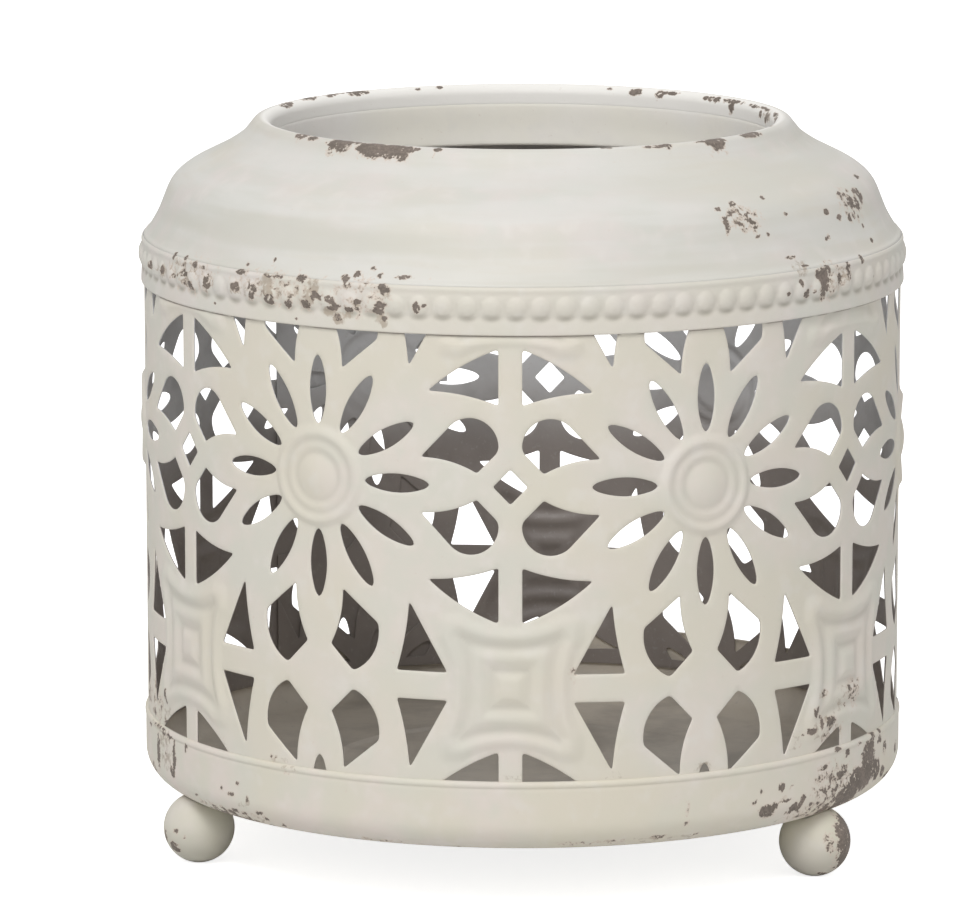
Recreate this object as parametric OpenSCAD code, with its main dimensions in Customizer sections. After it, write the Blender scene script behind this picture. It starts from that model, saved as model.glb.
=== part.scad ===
// Round candle lantern of painted sheet metal. A pierced and embossed wall stands in a shallow
// pan on three ball feet, and carries a beaded band and an ogee top with a wide open neck.
// Z is up, the origin is on the floor under the middle of the pan, and the front is -Y, where
// the middle of an embossed square faces.

/* [Wall] */
// Outer radius of the pierced wall
wall_r = 98.6; // [70:0.2:130]
// Thickness of every sheet
sheet_t = 0.5; // [0.4:0.05:0.8]
// Clearance between one sheet and the sheet that it slips into
slip_gap = 0.1; // [0.05:0.05:0.2]
// Height of the wall that shows between the pan and the beaded band
show_h = 112.8; // [90:0.2:130]
// Height of the flower row's centre above the edge of the pan
flower_rise = 74.9; // [65:0.1:80]
// Number of flowers round the wall
repeat_count = 6; // [5:1:8]
// Width of the lapped seam at the back
seam_w = 5; // [3:0.5:6]

/* [Pan] */
// Height of the pan's side
pan_h = 18.5; // [14:0.5:26]
// Outer radius of the pan's rounded lower corner
pan_corner_r = 7.9; // [5:0.1:10]
// Radius of the roll on the pan's upper edge
hem_r = 1; // [0.8:0.1:1.4]
// How far the roll stands proud of the pan's side
hem_proud = 0.4; // [0.2:0.05:0.6]
// Radius of the round line pressed into the pan's floor
floor_line_r = 52; // [30:1:70]
// Height of that line
floor_line_h = 0.8; // [0.4:0.1:1.5]
// Width of that line
floor_line_w = 4; // [3:0.5:6]

/* [Feet] */
// Radius of a ball foot
foot_r = 9.2; // [7:0.1:12]
// Distance of a foot's centre in from the pan's side
foot_inset = 7.1; // [6.5:0.1:30]
// Angle by which the feet are turned against the pattern
foot_turn = -3.65; // [-20:0.05:20]
// How far the top of a ball reaches up past the pan's underside
foot_nest = 2.1; // [1:0.1:3]
// Depth of the flat that a ball rests on
foot_flat = 0.3; // [0.2:0.1:0.5]
// Radius of the tenon that holds a foot in the pan
tenon_r = 2; // [1.5:0.1:2.5]

/* [Beaded band] */
// Height of the beaded band
band_h = 12; // [10:0.2:16]
// Height of the beads' centres above the band's lower edge
bead_rise = 8.6; // [6:0.1:9]
// Number of beads
bead_count = 96; // [60:1:110]
// Radius of a bead where it leaves the band
bead_r = 2.6; // [2:0.1:3]
// How far a bead stands out of the band
bead_proud = 0.9; // [0.5:0.1:1.5]
// Radius of the ridge above the beads
ridge_r = 0.45; // [0.3:0.05:0.6]

/* [Top] */
// Height of the ogee, from the beaded band to the top of the lip
ogee_h = 30.3; // [24:0.1:40]
// Radius of the lip's highest line
crest_r = 68; // [50:0.5:75]
// Outer radius of the rolled lip
lip_r = 2.6; // [2:0.1:3.5]
// Length of the lip that turns down inside
lip_turn_h = 2.5; // [1.5:0.1:4]
// Length of the skirt that stands in the beaded band
skirt_h = 3; // [2:0.1:4]

/* [Collar] */
// Depth of the neck, from the top of the lip to the collar's lower edge
neck_depth = 16.5; // [12:0.5:24]
// Radius of the roll on the collar's lower edge
collar_roll_r = 0.8; // [0.6:0.1:1.2]

/* [Hidden] */
$fn = 96;

// Overrun of every cut and the distance by which joined solids run into each other
over = 1;
bite = 0.05;

// Radii of the pan's and the band's sides, which the wall slips into
sleeve_in_r = wall_r + slip_gap;
sleeve_out_r = sleeve_in_r + sheet_t;

// Where the feet stand: distance from the middle, and the turn of each round it
foot_ring_r = sleeve_out_r - foot_inset;
foot_turns = [foot_turn - 60, foot_turn + 60, foot_turn + 180];

// Gap at the wall's ends, and heights above the floor
end_gap = 3 * slip_gap;
foot_z = foot_r - foot_flat;
pan_z = foot_z + foot_r - foot_nest;
pan_top_z = pan_z + pan_h;
wall_low_z = pan_z + pan_corner_r + end_gap;
band_z = pan_top_z + show_h;
band_top_z = band_z + band_h;
bead_z = band_z + bead_rise;
skirt_z = band_top_z - skirt_h;
wall_high_z = skirt_z - end_gap;
crest_z = band_top_z + ogee_h;

// The pierced zone, with a plain margin that pan and band hide
plain_edge = 3;
holes_low_z = wall_low_z + plain_edge;
holes_high_z = wall_high_z - plain_edge;

// The pattern repeats round the wall every two tiles, and every two rows up it
tile = PI * wall_r / repeat_count;
row_step_share = 0.986;
row_step = tile * row_step_share;
flower_z = pan_top_z + flower_rise;
row_range = [-1:1];
punch_in = 4;
punch_out = 2;
past_share = 0.02;

// Petal slots of a flower
slot_count = 12;
slot_centre_share = 0.426;
slot_half_share = 0.165;
slot_w_share = 0.0955;
slot_point_share = 1.18;

// Diamond between two flowers, and the bar of even width round it
diamond_half_share = 0.088;
tear_line_share = 0.229;

// Teardrop hole beside the diamond. A reach is how far a hole runs from its anchor.
tear_reach_share = 0.3;
tear_centre_share = [0.199, 0.193];
tear_r_share = 0.142;
tear_outer_tip_share = [0.454, 0.133];
tear_inner_tip_share = [0.164, 0.062];
tear_hollow_share = 0.021;
tear_shoulder_share = 0.98;
tear_shoulder_turn = 40;

// Curved triangle above and below the teardrop, beside the upright bar
bar_half_share = 0.058;
hole_reach_share = 0.25;
curve_anchor_share = [0.2, 0.53];
curve_inner_share = [bar_half_share, 0.394];
curve_top_share = [bar_half_share, 0.671];
curve_tip_share = [0.415, 0.458];
curve_swell_share = 0.020;
curve_hollow_share = 0.0165;

// Tall triangle beside the embossed square
tall_anchor_share = [0.48, 0.2];
tall_near_share = [0.313, 0.068];
tall_far_share = [0.578, 0.068];
tall_tip_share = [0.511, 0.418];
tall_hollow_share = 0.011;

// Hole of the cross between two squares
cross_anchor_share = [0.2, 0.3];
cross_centre_share = [0.109, 0.251];
cross_r_share = 0.222;
cross_top_share = [0.1345, 0.449];
cross_side_share = [0.322, 0.296];
cross_waist_share = [0.066, 0.167];
cross_hollow_share = 0.0195;

// Pressed relief: the boss of a flower and the nested frames of a square
boss_share = 0.245;
boss_h = 0.45;
knob_share = 0.130;
knob_h = 0.85;
frame_share = [[0.240, 0.200], [0.165, 0.115], [0.065, 0]];
frame_h = 0.5;

// The head of a foot's tenon, as shares of the tenon's radius
head_r_share = 1.7;
head_h_share = 0.7;

// Outline of the ogee as shares: 0 is the neck and 1 the skirt, 0 the band and 1 the crest
ogee_share = [
    [1, -0.10], [1, 0], [0.967, 0.040], [0.924, 0.106], [0.878, 0.191], [0.842, 0.277],
    [0.806, 0.370], [0.766, 0.452], [0.704, 0.525], [0.605, 0.597], [0.470, 0.667],
    [0.339, 0.733], [0.224, 0.805], [0.135, 0.875], [0.086, 0.930]
];
spline_steps = 3;
lip_steps = 12;
lip_start_turn = 30;

// A point of a smooth curve through four points, at t from the second to the third
function spline_point(a, b, c, d, t) =
    (2 * b + (c - a) * t + (2 * a - 5 * b + 4 * c - d) * t * t
        + (3 * b - a - 3 * c + d) * t * t * t) / 2;

// The curve through all the points but the first and the last
function spline(points) = [
    for (i = [1 : len(points) - 3], k = [0 : spline_steps - 1])
        spline_point(points[i - 1], points[i], points[i + 1], points[i + 2], k / spline_steps)
];

// The direction square to a path at one of its points, to the left of the way that it runs
function path_side(path, i) =
    let (ahead = path[min(i + 1, len(path) - 1)] - path[max(i - 1, 0)])
    [-ahead.y, ahead.x] / norm(ahead);

// A closed outline of even thickness, left of the path
function sheet_outline(path, thick) = concat(
    path,
    [for (i = [len(path) - 1 : -1 : 0]) path[i] + thick * path_side(path, i)]
);

// Radius and centre of a circle through two points that bulges to the left of the way between
function bulge_r(p, q, rise) = (norm(q - p) * norm(q - p) / 4 + rise * rise) / (2 * rise);
function bulge_centre(p, q, rise) =
    let (side = [p.y - q.y, q.x - p.x] / norm(q - p))
    (p + q) / 2 - side * (bulge_r(p, q, rise) - rise);

// A disc whose edge runs through two points and bulges by the rise
module bulge_disc(p, q, rise) {
    translate(bulge_centre(p, q, rise)) circle(r = bulge_r(p, q, rise));
}

// A tube between two heights
module tube(outer_r, inner_r, low_z, high_z) {
    difference() {
        translate([0, 0, low_z]) cylinder(r = outer_r, h = high_z - low_z);
        translate([0, 0, low_z - over]) cylinder(r = inner_r, h = high_z - low_z + 2 * over);
    }
}

// The half outline of a pan: straight side, rounded lower corner and a flat floor
module pan_half(r, corner, low_z, high_z) {
    translate([0, low_z]) square([r - corner, high_z - low_z]);
    translate([0, low_z + corner]) square([r, high_z - low_z - corner]);
    translate([r - corner, low_z + corner]) circle(r = corner);
}

// The pan's outside grown by a gap, and its inside shrunk by a gap
module pan_outside(gap) {
    rotate_extrude() intersection() {
        pan_half(sleeve_out_r + gap, pan_corner_r + gap, pan_z - gap, pan_top_z);
        translate([0, pan_z - over]) square([sleeve_out_r + over, pan_h + over]);
    }
}
module pan_inside(gap) {
    rotate_extrude() intersection() {
        pan_half(
            sleeve_in_r - gap, pan_corner_r - sheet_t - gap, pan_z + sheet_t + gap,
            pan_top_z + over
        );
        translate([0, pan_z]) square([sleeve_in_r, pan_h + 2 * over]);
    }
}

// Turns its children to a foot's place round the pan
module at_foot(turn) {
    rotate([0, 0, turn]) translate([0, -foot_ring_r, 0]) children();
}

// Pressed pan with a rolled hem, a round line on its floor and a hole for each foot's tenon
module base_pan() {
    line_r = (floor_line_w * floor_line_w / 4 + floor_line_h * floor_line_h)
        / (2 * floor_line_h);
    color("antiquewhite") difference() {
        union() {
            difference() {
                pan_outside(0);
                pan_inside(0);
            }
            rotate_extrude() intersection() {
                translate([sleeve_out_r + hem_proud - hem_r, pan_top_z - hem_r]) circle(r = hem_r);
                translate([sleeve_in_r, pan_top_z - 2 * hem_r])
                    square([sheet_t + hem_proud, 2 * hem_r]);
            }
            rotate_extrude() intersection() {
                translate([floor_line_r, pan_z + sheet_t + floor_line_h - line_r])
                    circle(r = line_r);
                translate([floor_line_r - floor_line_w, pan_z + sheet_t - bite])
                    square([2 * floor_line_w, floor_line_h + over]);
            }
        }
        rotate_extrude() intersection() {
            translate([floor_line_r, pan_z + floor_line_h - line_r]) circle(r = line_r);
            translate([floor_line_r - floor_line_w, pan_z - over])
                square([2 * floor_line_w, floor_line_h + over]);
        }
        for (turn = foot_turns)
            at_foot(turn)
                translate([0, 0, pan_z - over])
                    cylinder(r = tenon_r + slip_gap, h = pan_corner_r);
    }
}

// Extrudes a flat shape through the wall, at a place given by its angle and its height
module through_wall(turn, z) {
    rotate([0, 0, turn]) translate([0, 0, z]) rotate([90, 0, 0])
        translate([0, 0, wall_r - punch_in]) linear_extrude(punch_in + punch_out) children();
}

// Cuts a hole through the wall, and trims it where it runs out of the pierced zone
module punch(turn, z, reach) {
    if (z - reach > holes_low_z && z + reach < holes_high_z)
        through_wall(turn, z) children();
    else if (z + reach > holes_low_z && z - reach < holes_high_z)
        through_wall(turn, z) intersection() {
            children();
            translate([-reach, holes_low_z - z]) square([2 * reach, holes_high_z - holes_low_z]);
        }
}

// Four mirrored holes round a meeting point of the pattern. The anchor is where one lies.
module four_holes(turn, z, anchor, reach) {
    for (right = [0, 1], up = [0, 1])
        punch(
            turn + (2 * right - 1) * anchor.x / wall_r * 180 / PI,
            z + (2 * up - 1) * anchor.y, reach
        )
            mirror([1 - right, 0]) mirror([0, 1 - up]) translate(-anchor) children();
}

module petal_slot() {
    half = tile * slot_half_share;
    wide = tile * slot_w_share / 2;
    tip = half * slot_point_share;
    intersection() {
        bulge_disc([-tip, 0], [tip, 0], wide);
        bulge_disc([tip, 0], [-tip, 0], wide);
        circle(r = half);
    }
}

module diamond() {
    rotate(45) square(tile * diamond_half_share * sqrt(2), center = true);
}

module teardrop() {
    outer_tip = tile * tear_outer_tip_share;
    inner_tip = tile * tear_inner_tip_share;
    centre = tile * tear_centre_share;
    r = tile * tear_r_share;
    shoulder = centre + r * tear_shoulder_share * [cos(tear_shoulder_turn), sin(tear_shoulder_turn)];
    line = tile * tear_line_share;
    past = tile * past_share;
    difference() {
        union() {
            translate(centre) circle(r = r);
            polygon([centre, shoulder, outer_tip + past * [1, -1], inner_tip - [0, past]]);
        }
        bulge_disc(inner_tip, outer_tip, tile * tear_hollow_share);
        polygon([[-line, 0], [0, -line], [line, 0], [0, line]]);
    }
}

module curved_triangle() {
    inner = tile * curve_inner_share;
    top = tile * curve_top_share;
    tip = tile * curve_tip_share;
    past = tile * past_share;
    difference() {
        intersection() {
            translate(inner - [0, past])
                square([tip.x - inner.x + past, top.y - inner.y + 2 * past]);
            bulge_disc(top, tip, tile * curve_swell_share);
        }
        bulge_disc(inner, tip, tile * curve_hollow_share);
    }
}

module tall_triangle() {
    near = tile * tall_near_share;
    far = tile * tall_far_share;
    tip = tile * tall_tip_share;
    difference() {
        polygon([near, far, tip]);
        bulge_disc(far, tip, tile * tall_hollow_share);
    }
}

module cross_hole() {
    top = tile * cross_top_share;
    side = tile * cross_side_share;
    waist = tile * cross_waist_share;
    centre = tile * cross_centre_share;
    r = tile * cross_r_share;
    slope = (top.y - side.y) / (side.x - top.x);
    right = centre.x + r;
    difference() {
        intersection() {
            translate(centre) circle(r = r);
            polygon([
                waist, [waist.x + waist.y, 0], [right, 0],
                [right, side.y - (right - side.x) * slope], top + waist.x * [-1, slope]
            ]);
        }
        bulge_disc(top, waist, tile * cross_hollow_share);
    }
}

// Every hole of the wall
module pattern_holes() {
    for (k = [0 : repeat_count - 1], row = row_range) {
        square_turn = k * 360 / repeat_count;
        flower_turn = square_turn + 180 / repeat_count;
        z = flower_z + 2 * row * row_step;
        punch(square_turn, z, tile * diamond_half_share) diamond();
        four_holes(square_turn, z, tile * tear_centre_share, tile * tear_reach_share)
            teardrop();
        four_holes(square_turn, z, tile * curve_anchor_share, tile * hole_reach_share)
            curved_triangle();
        four_holes(square_turn, z + row_step, tile * tall_anchor_share, tile * hole_reach_share)
            tall_triangle();
        four_holes(flower_turn, z + row_step, tile * cross_anchor_share, tile * hole_reach_share)
            cross_hole();
        for (s = [0 : slot_count - 1]) {
            way = s * 360 / slot_count;
            out = tile * slot_centre_share;
            punch(
                flower_turn + out * cos(way) / wall_r * 180 / PI, z + out * sin(way),
                tile * slot_half_share
            )
                rotate(way) petal_slot();
        }
    }
}

// Pierced and embossed sheet, rolled up with a lapped seam inside at the back
module pierced_wall() {
    back_r = wall_r - sheet_t - bite;
    color("antiquewhite") difference() {
        union() {
            tube(wall_r, wall_r - sheet_t, wall_low_z, wall_high_z);
            intersection() {
                tube(wall_r - sheet_t + bite, wall_r - 2 * sheet_t, wall_low_z, wall_high_z);
                translate([-seam_w / 2, 0, wall_low_z]) cube([seam_w, wall_r, wall_high_z]);
            }
            for (k = [0 : repeat_count - 1]) {
                flower_turn = (2 * k + 1) * 180 / repeat_count;
                square_turn = 2 * k * 180 / repeat_count;
                for (step = [[boss_share, boss_h], [knob_share, knob_h]])
                    intersection() {
                        tube(wall_r + step[1], back_r, holes_low_z, holes_high_z);
                        through_wall(flower_turn, flower_z) circle(r = tile * step[0]);
                    }
                for (frame = frame_share)
                    intersection() {
                        tube(wall_r + frame_h, wall_r - sheet_t / 2, holes_low_z, holes_high_z);
                        through_wall(square_turn, flower_z - row_step) difference() {
                            square(2 * tile * frame[0], center = true);
                            if (frame[1] > 0) square(2 * tile * frame[1], center = true);
                        }
                    }
            }
        }
        for (k = [0 : repeat_count - 1], step = [[boss_share, boss_h], [knob_share, knob_h]])
            intersection() {
                tube(wall_r + step[1] - sheet_t, wall_r - 3 * sheet_t, holes_low_z, holes_high_z);
                through_wall((2 * k + 1) * 180 / repeat_count, flower_z)
                    circle(r = tile * step[0] - sheet_t);
            }
        pattern_holes();
    }
}

// Band with pressed beads, a fine ridge over them and a plain flange below
module bead_band() {
    ball_r = (bead_r * bead_r + bead_proud * bead_proud) / (2 * bead_proud);
    color("ivory") difference() {
        union() {
            translate([0, 0, band_z]) cylinder(r = sleeve_out_r, h = band_h);
            rotate_extrude()
                translate([sleeve_out_r, band_top_z - ridge_r]) circle(r = ridge_r);
            for (k = [0 : bead_count - 1])
                rotate([0, 0, k * 360 / bead_count])
                    translate([0, bead_proud + sleeve_out_r - ball_r, bead_z])
                        sphere(r = ball_r);
        }
        translate([0, 0, band_z - over]) cylinder(r = sleeve_in_r, h = band_h + 2 * over);
    }
}

// The ogee's outer line, from the skirt up over the lip and down inside
function dome_path() =
    let (
        points = [
            for (p = ogee_share)
                [crest_r + (wall_r - crest_r) * p.x, band_top_z + ogee_h * p.y]
        ],
        lip_centre = [crest_r, crest_z - lip_r]
    )
    concat(
        [[wall_r, skirt_z]],
        spline(points),
        [
            for (k = [0 : lip_steps])
                let (a = lip_start_turn + (180 - lip_start_turn) * k / lip_steps)
                lip_centre + lip_r * [cos(a), sin(a)]
        ],
        [lip_centre - [lip_r, lip_turn_h]]
    );

// Spun top with a rolled lip at the neck
module top_dome() {
    color("ivory") rotate_extrude() polygon(sheet_outline(dome_path(), sheet_t));
}

// Straight hoop that lines the neck, with its lower edge rolled outwards
module neck_collar() {
    in_r = crest_r - lip_r + sheet_t + slip_gap;
    low_z = crest_z - neck_depth;
    high_z = crest_z - lip_r + slip_gap;
    color("ivory") rotate_extrude() {
        translate([in_r, low_z + collar_roll_r]) square([sheet_t, high_z - low_z - collar_roll_r]);
        difference() {
            translate([in_r + collar_roll_r, low_z + collar_roll_r]) circle(r = collar_roll_r);
            translate([in_r + collar_roll_r, low_z + collar_roll_r])
                circle(r = collar_roll_r - sheet_t);
        }
    }
}

// Ball foot that nests under the pan's corner, with a tenon headed over inside the pan
module foot(turn) {
    head_r = tenon_r * head_r_share;
    head_h = tenon_r * head_h_share;
    cap_r = (head_r * head_r + head_h * head_h) / (2 * head_h);
    color("antiquewhite") {
        difference() {
            at_foot(turn) translate([0, 0, foot_z]) sphere(r = foot_r);
            pan_outside(slip_gap);
            at_foot(turn) translate([-foot_r, -foot_r, -2 * foot_r])
                cube([2 * foot_r, 2 * foot_r, 2 * foot_r]);
        }
        at_foot(turn) translate([0, 0, foot_z])
            cylinder(r = tenon_r, h = pan_z + sheet_t + head_h / 2 - foot_z);
        intersection() {
            at_foot(turn) translate([0, 0, pan_z + sheet_t + head_h - cap_r]) sphere(r = cap_r);
            pan_inside(slip_gap / 2);
        }
    }
}

module foot_left() { foot(foot_turns[0]); }
module foot_right() { foot(foot_turns[1]); }
module foot_back() { foot(foot_turns[2]); }

base_pan();
pierced_wall();
bead_band();
top_dome();
neck_collar();
foot_left();
foot_right();
foot_back();
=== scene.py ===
import math

import bmesh
import bpy
import numpy as np
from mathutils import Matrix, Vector
from mathutils.geometry import delaunay_2d_cdt


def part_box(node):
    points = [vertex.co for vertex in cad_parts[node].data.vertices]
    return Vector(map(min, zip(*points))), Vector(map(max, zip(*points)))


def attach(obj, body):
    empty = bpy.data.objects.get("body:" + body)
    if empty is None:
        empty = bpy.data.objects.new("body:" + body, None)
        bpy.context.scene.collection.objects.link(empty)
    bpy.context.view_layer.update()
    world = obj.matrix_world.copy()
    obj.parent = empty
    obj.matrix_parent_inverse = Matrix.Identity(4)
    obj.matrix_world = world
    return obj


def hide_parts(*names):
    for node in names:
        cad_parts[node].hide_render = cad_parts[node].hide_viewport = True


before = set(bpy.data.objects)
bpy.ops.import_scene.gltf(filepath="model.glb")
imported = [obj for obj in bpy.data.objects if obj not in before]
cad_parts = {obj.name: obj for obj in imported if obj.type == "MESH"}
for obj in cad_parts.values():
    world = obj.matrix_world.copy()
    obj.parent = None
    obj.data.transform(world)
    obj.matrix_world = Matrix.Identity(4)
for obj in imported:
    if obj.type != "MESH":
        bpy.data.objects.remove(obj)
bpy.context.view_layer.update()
mm = 0.001


# Pan: a shallow dish pressed from steel sheet, with a rolled hem round its top, a rounded lower
# corner and one round line pressed into its floor. It is painted cream outside and left in its
# brown-grey primer inside, and it carries the wall, which is pushed into it.
class Tone:
    """A socket in a material. + - * add Math nodes, and node() adds any other kind."""

    def __init__(self, tree, socket=None):
        self.tree, self.socket = tree, socket

    def node(self, kind, sockets, out=0, **settings):
        """One of a new node's outputs, with its settings and the values or links of its sockets."""
        made = self.tree.nodes.new("ShaderNode" + kind)
        for name, setting in settings.items():
            setattr(made, name, setting)
        for name, value in sockets.items():
            if isinstance(value, Tone):
                self.tree.links.new(value.socket, made.inputs[name])
            else:
                made.inputs[name].default_value = value
        return Tone(self.tree, made.outputs[out])

    def sum_with(self, operation, first, second):
        """What a Math node makes of two values."""
        return self.node("Math", {0: first, 1: second}, operation=operation)

    def __add__(self, other):
        return self.sum_with("ADD", self, other)

    def __sub__(self, other):
        return self.sum_with("SUBTRACT", self, other)

    def __rsub__(self, other):
        return self.sum_with("SUBTRACT", other, self)

    def __mul__(self, other):
        return self.sum_with("MULTIPLY", self, other)

    __radd__, __rmul__ = __add__, __mul__

    def step(self, low, high):
        """0 below low, 1 above high, and smooth between."""
        return self.node(
            "MapRange",
            {"Value": self, "From Min": low, "From Max": high},
            interpolation_type="SMOOTHSTEP",
        )

    def blend(self, start, end):
        """The colour start where this value is 0, and end where it is 1."""
        return self.node("Mix", {0: self, 6: start, 7: end}, out=2, data_type="RGBA")

    def noise(self, place, scale, detail=2.0, roughness=0.5, out="Fac"):
        """Cloudy noise over the object, with scale cells to the metre."""
        sockets = {"Vector": place, "Scale": scale, "Detail": detail, "Roughness": roughness}
        return self.node("TexNoise", sockets, out)


def new_finish(name):
    """A material with the shader that it starts from, and the place on the object."""
    material = bpy.data.materials.new(name)
    material.use_nodes = True
    start = Tone(material.node_tree)
    return material, start, start.node("TexCoord", {}, "Object")


def lay_finish(start, colour, roughness, height, depth):
    """Links colour, roughness and a bump to the material's shader."""
    tree = start.tree
    normal = start.node("Bump", {"Height": height, "Distance": depth, "Strength": 1.0})
    shader = tree.nodes["Principled BSDF"]
    tree.links.new(colour.socket, shader.inputs["Base Color"])
    tree.links.new(roughness.socket, shader.inputs["Roughness"])
    tree.links.new(normal.socket, shader.inputs["Normal"])


primer_brown, primer_dark = (0.215, 0.175, 0.147, 1), (0.150, 0.124, 0.102, 1)
primer_cloud, overspray = (0.130, 0.115, 0.105, 1), (0.450, 0.420, 0.390, 1)
rubbed_tan, smeared_brown = (0.390, 0.325, 0.255, 1), (0.400, 0.330, 0.260, 1)
# The second colour here is painted shade and grime, for creases, hollows and undersides.
frayed_cream, shade_and_grime_colour = (0.620, 0.530, 0.455, 1), (0.400, 0.375, 0.320, 1)
# The first is the white that paint turns to as painted light, on the lip and in the neck.
painted_light_white, cloud_white = (0.840, 0.820, 0.780, 1), (0.700, 0.685, 0.640, 1)
brushed_light, brushed_dull = (0.655, 0.648, 0.615, 1), (0.555, 0.540, 0.475, 1)
flake_scale, drift_scale, drift = 560.0, 520.0, 2.6 * mm
# Width and darkest core of the line of painted shade and dirt under a seam.
seam_shade_width, seam_shade_core = 0.55 * mm, 0.15 * mm


def cream_paint(name, cool, blush, warm, streaks=0.0, painted_shade_seam=None):
    """Cream paint over primer: blotchy, chipped by the mesh's wear, thinned by its rub, darkened
    with painted shade and grime in its creases, with painted shade and dirt along a seam at a
    height, and lightened with painted light where the mesh asks for it."""
    material, start, place = new_finish(name)
    wear, rub, shade_and_grime, painted_light = (
        start.node("Attribute", {}, "Fac", attribute_name=kind)
        for kind in ("wear", "rub", "shade_and_grime", "painted_light")
    )

    swirl = start.noise(place, drift_scale, 2.0, out="Color")
    swirl = start.node("VectorMath", {0: swirl, 1: (0.5,) * 3}, operation="SUBTRACT")
    bent = start.node(
        "VectorMath", {0: swirl, 1: (drift,) * 3, 2: place}, operation="MULTIPLY_ADD"
    )
    flakes = start.noise(bent, flake_scale, 4.0, 0.60)
    crumbs = start.noise(place, 1500.0, 1.0)
    ragged = (flakes * 0.82 + crumbs * 0.18 - 0.5) * (0.75 + wear * 1.5)
    level = ragged + wear * 0.5
    chip = level.step(0.255, 0.305)
    smear = level.step(0.190, 0.270)
    frayed = level.step(0.100, 0.200)

    blotch = start.noise(place, 75.0, 3.0, 0.55)
    patch = start.noise(place, 27.0, 2.0, 0.5)
    cloud = start.noise(place, 150.0, 2.0, 0.5)
    colour = blotch.step(0.36, 0.64).blend(cool, blush)
    colour = (patch.step(0.40, 0.66) * 0.8).blend(colour, warm)
    colour = (cloud.step(0.52, 0.76) * 0.30).blend(colour, cloud_white)
    if streaks:
        level_bands = start.node("Mapping", {"Vector": place, "Scale": (0.10, 0.10, 1.0)})
        streak = start.noise(level_bands, 170.0, 3.0, 0.6)
        colour = (streak.step(0.40, 0.62) * streaks).blend(colour, brushed_light)
        wash = start.noise(level_bands, 95.0, 2.0, 0.5)
        colour = (wash.step(0.50, 0.70) * streaks).blend(colour, brushed_dull)
    # Painted light: the paint turns white where the mesh asks, on the lip and in the neck.
    colour = painted_light.blend(colour, painted_light_white)
    # Painted shade and grime, as deep as the mesh asks, in creases, hollows and undersides.
    colour = (shade_and_grime * 0.50).blend(colour, shade_and_grime_colour)
    # Painted shade and dirt: a thin dark brown line just below a seam at a given height.
    if painted_shade_seam:
        height = start.node("SeparateXYZ", {"Vector": place}, "Z")
        near = height.step(painted_shade_seam - seam_shade_width, painted_shade_seam - seam_shade_core) * cloud.step(0.30, 0.50)
        colour = (near * 0.85).blend(colour, primer_brown)
    colour = (frayed * 0.65).blend(colour, frayed_cream)
    thin = (rub * 0.9 + (flakes - 0.5) * 2.6).step(0.30, 0.85) * rub.step(0.04, 0.34)
    colour = (thin * 0.80).blend(colour, rubbed_tan)
    colour = (smear * 0.60).blend(colour, smeared_brown)
    bare = (crumbs * 0.5 + cloud * 0.5).step(0.40, 0.60).blend(primer_brown, primer_dark)
    colour = chip.blend(colour, bare)

    lumps = start.noise(place, 130.0, 2.0)
    grain = start.noise(place, 900.0, 2.0)
    roughness = 0.60 + (blotch - 0.5) * 0.25 + chip * 0.05
    height = lumps * 0.55 + grain * 0.10 - chip * 0.50 - frayed * 0.08
    lay_finish(start, colour, roughness, height, 0.16 * mm)
    return material


def primer_coat(name, low_tone, high_tone, low, high):
    """Brown-grey primer, whose tone changes from low_tone to high_tone between two heights,
    with dark clouds and specks of cream overspray."""
    material, start, place = new_finish(name)
    height = start.node("SeparateXYZ", {"Vector": place}, "Z")
    clouds = start.noise(place, 30.0, 4.0, 0.6)
    specks = start.noise(place, 700.0, 2.0, 0.6)
    colour = height.step(low, high).blend(low_tone, high_tone)
    colour = (clouds.step(0.42, 0.68) * 0.35).blend(colour, primer_cloud)
    colour = (specks.step(0.60, 0.72) * 0.25).blend(colour, overspray)
    peel = start.noise(place, 420.0, 2.0)
    roughness = 0.40 + (clouds - 0.5) * 0.3
    lay_finish(start, colour, roughness, peel, 0.10 * mm)
    return material


pan_paint = cream_paint(
    "pan_paint", (0.640, 0.618, 0.540, 1), (0.690, 0.622, 0.565, 1), (0.655, 0.612, 0.500, 1)
)
dusty_primer = (0.680, 0.620, 0.530, 1)
pan_primer = primer_coat("pan_primer", dusty_primer, dusty_primer, 10 * mm, 60 * mm)


def round_axis(angle, radius, height):
    """The point at an angle from the front, a radius and a height."""
    turn = np.radians(angle)
    return np.stack(
        np.broadcast_arrays(np.sin(turn) * radius, -np.cos(turn) * radius, height), -1
    )


def write_share(piece, kind, values):
    """Gives each point of a piece a value that its paint reads."""
    piece.data.attributes.new(kind, "FLOAT", "POINT").data.foreach_set("value", values)


def rows_of(items, field):
    """A field of three numbers of each item, as rows."""
    values = np.empty(len(items) * 3, np.float32)
    items.foreach_get(field, values)
    return values.reshape(-1, 3)


def gentle(share):
    """A share from 0 to 1 that starts and ends gently."""
    return share * share * (3 - 2 * share)


mark_fade, mark_sink = 1.60, 2 * mm


def wear_down(piece, marks, kind="wear"):
    """Writes how worn each point is, from round marks that fade towards their edges."""
    points = rows_of(piece.data.vertices, "co")
    normals = rows_of(piece.data.vertex_normals, "vector")
    worn = np.zeros(len(points))
    for angle, radius, height, wide, high, depth in marks:
        offset = points - round_axis(angle, radius * mm, height * mm)
        turn = math.radians(angle)
        along = offset @ np.array([math.cos(turn), math.sin(turn), 0.0])
        sunk = np.clip((offset * normals).sum(1), -mark_sink, mark_sink)
        rest = np.sqrt(np.maximum((offset**2).sum(1) - along**2 - sunk**2, 0.0))
        far = np.clip(mark_fade - np.hypot(along / (wide * mm), rest / (high * mm)), 0, 1)
        worn = np.maximum(worn, depth * gentle(far))
    write_share(piece, kind, worn)


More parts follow.
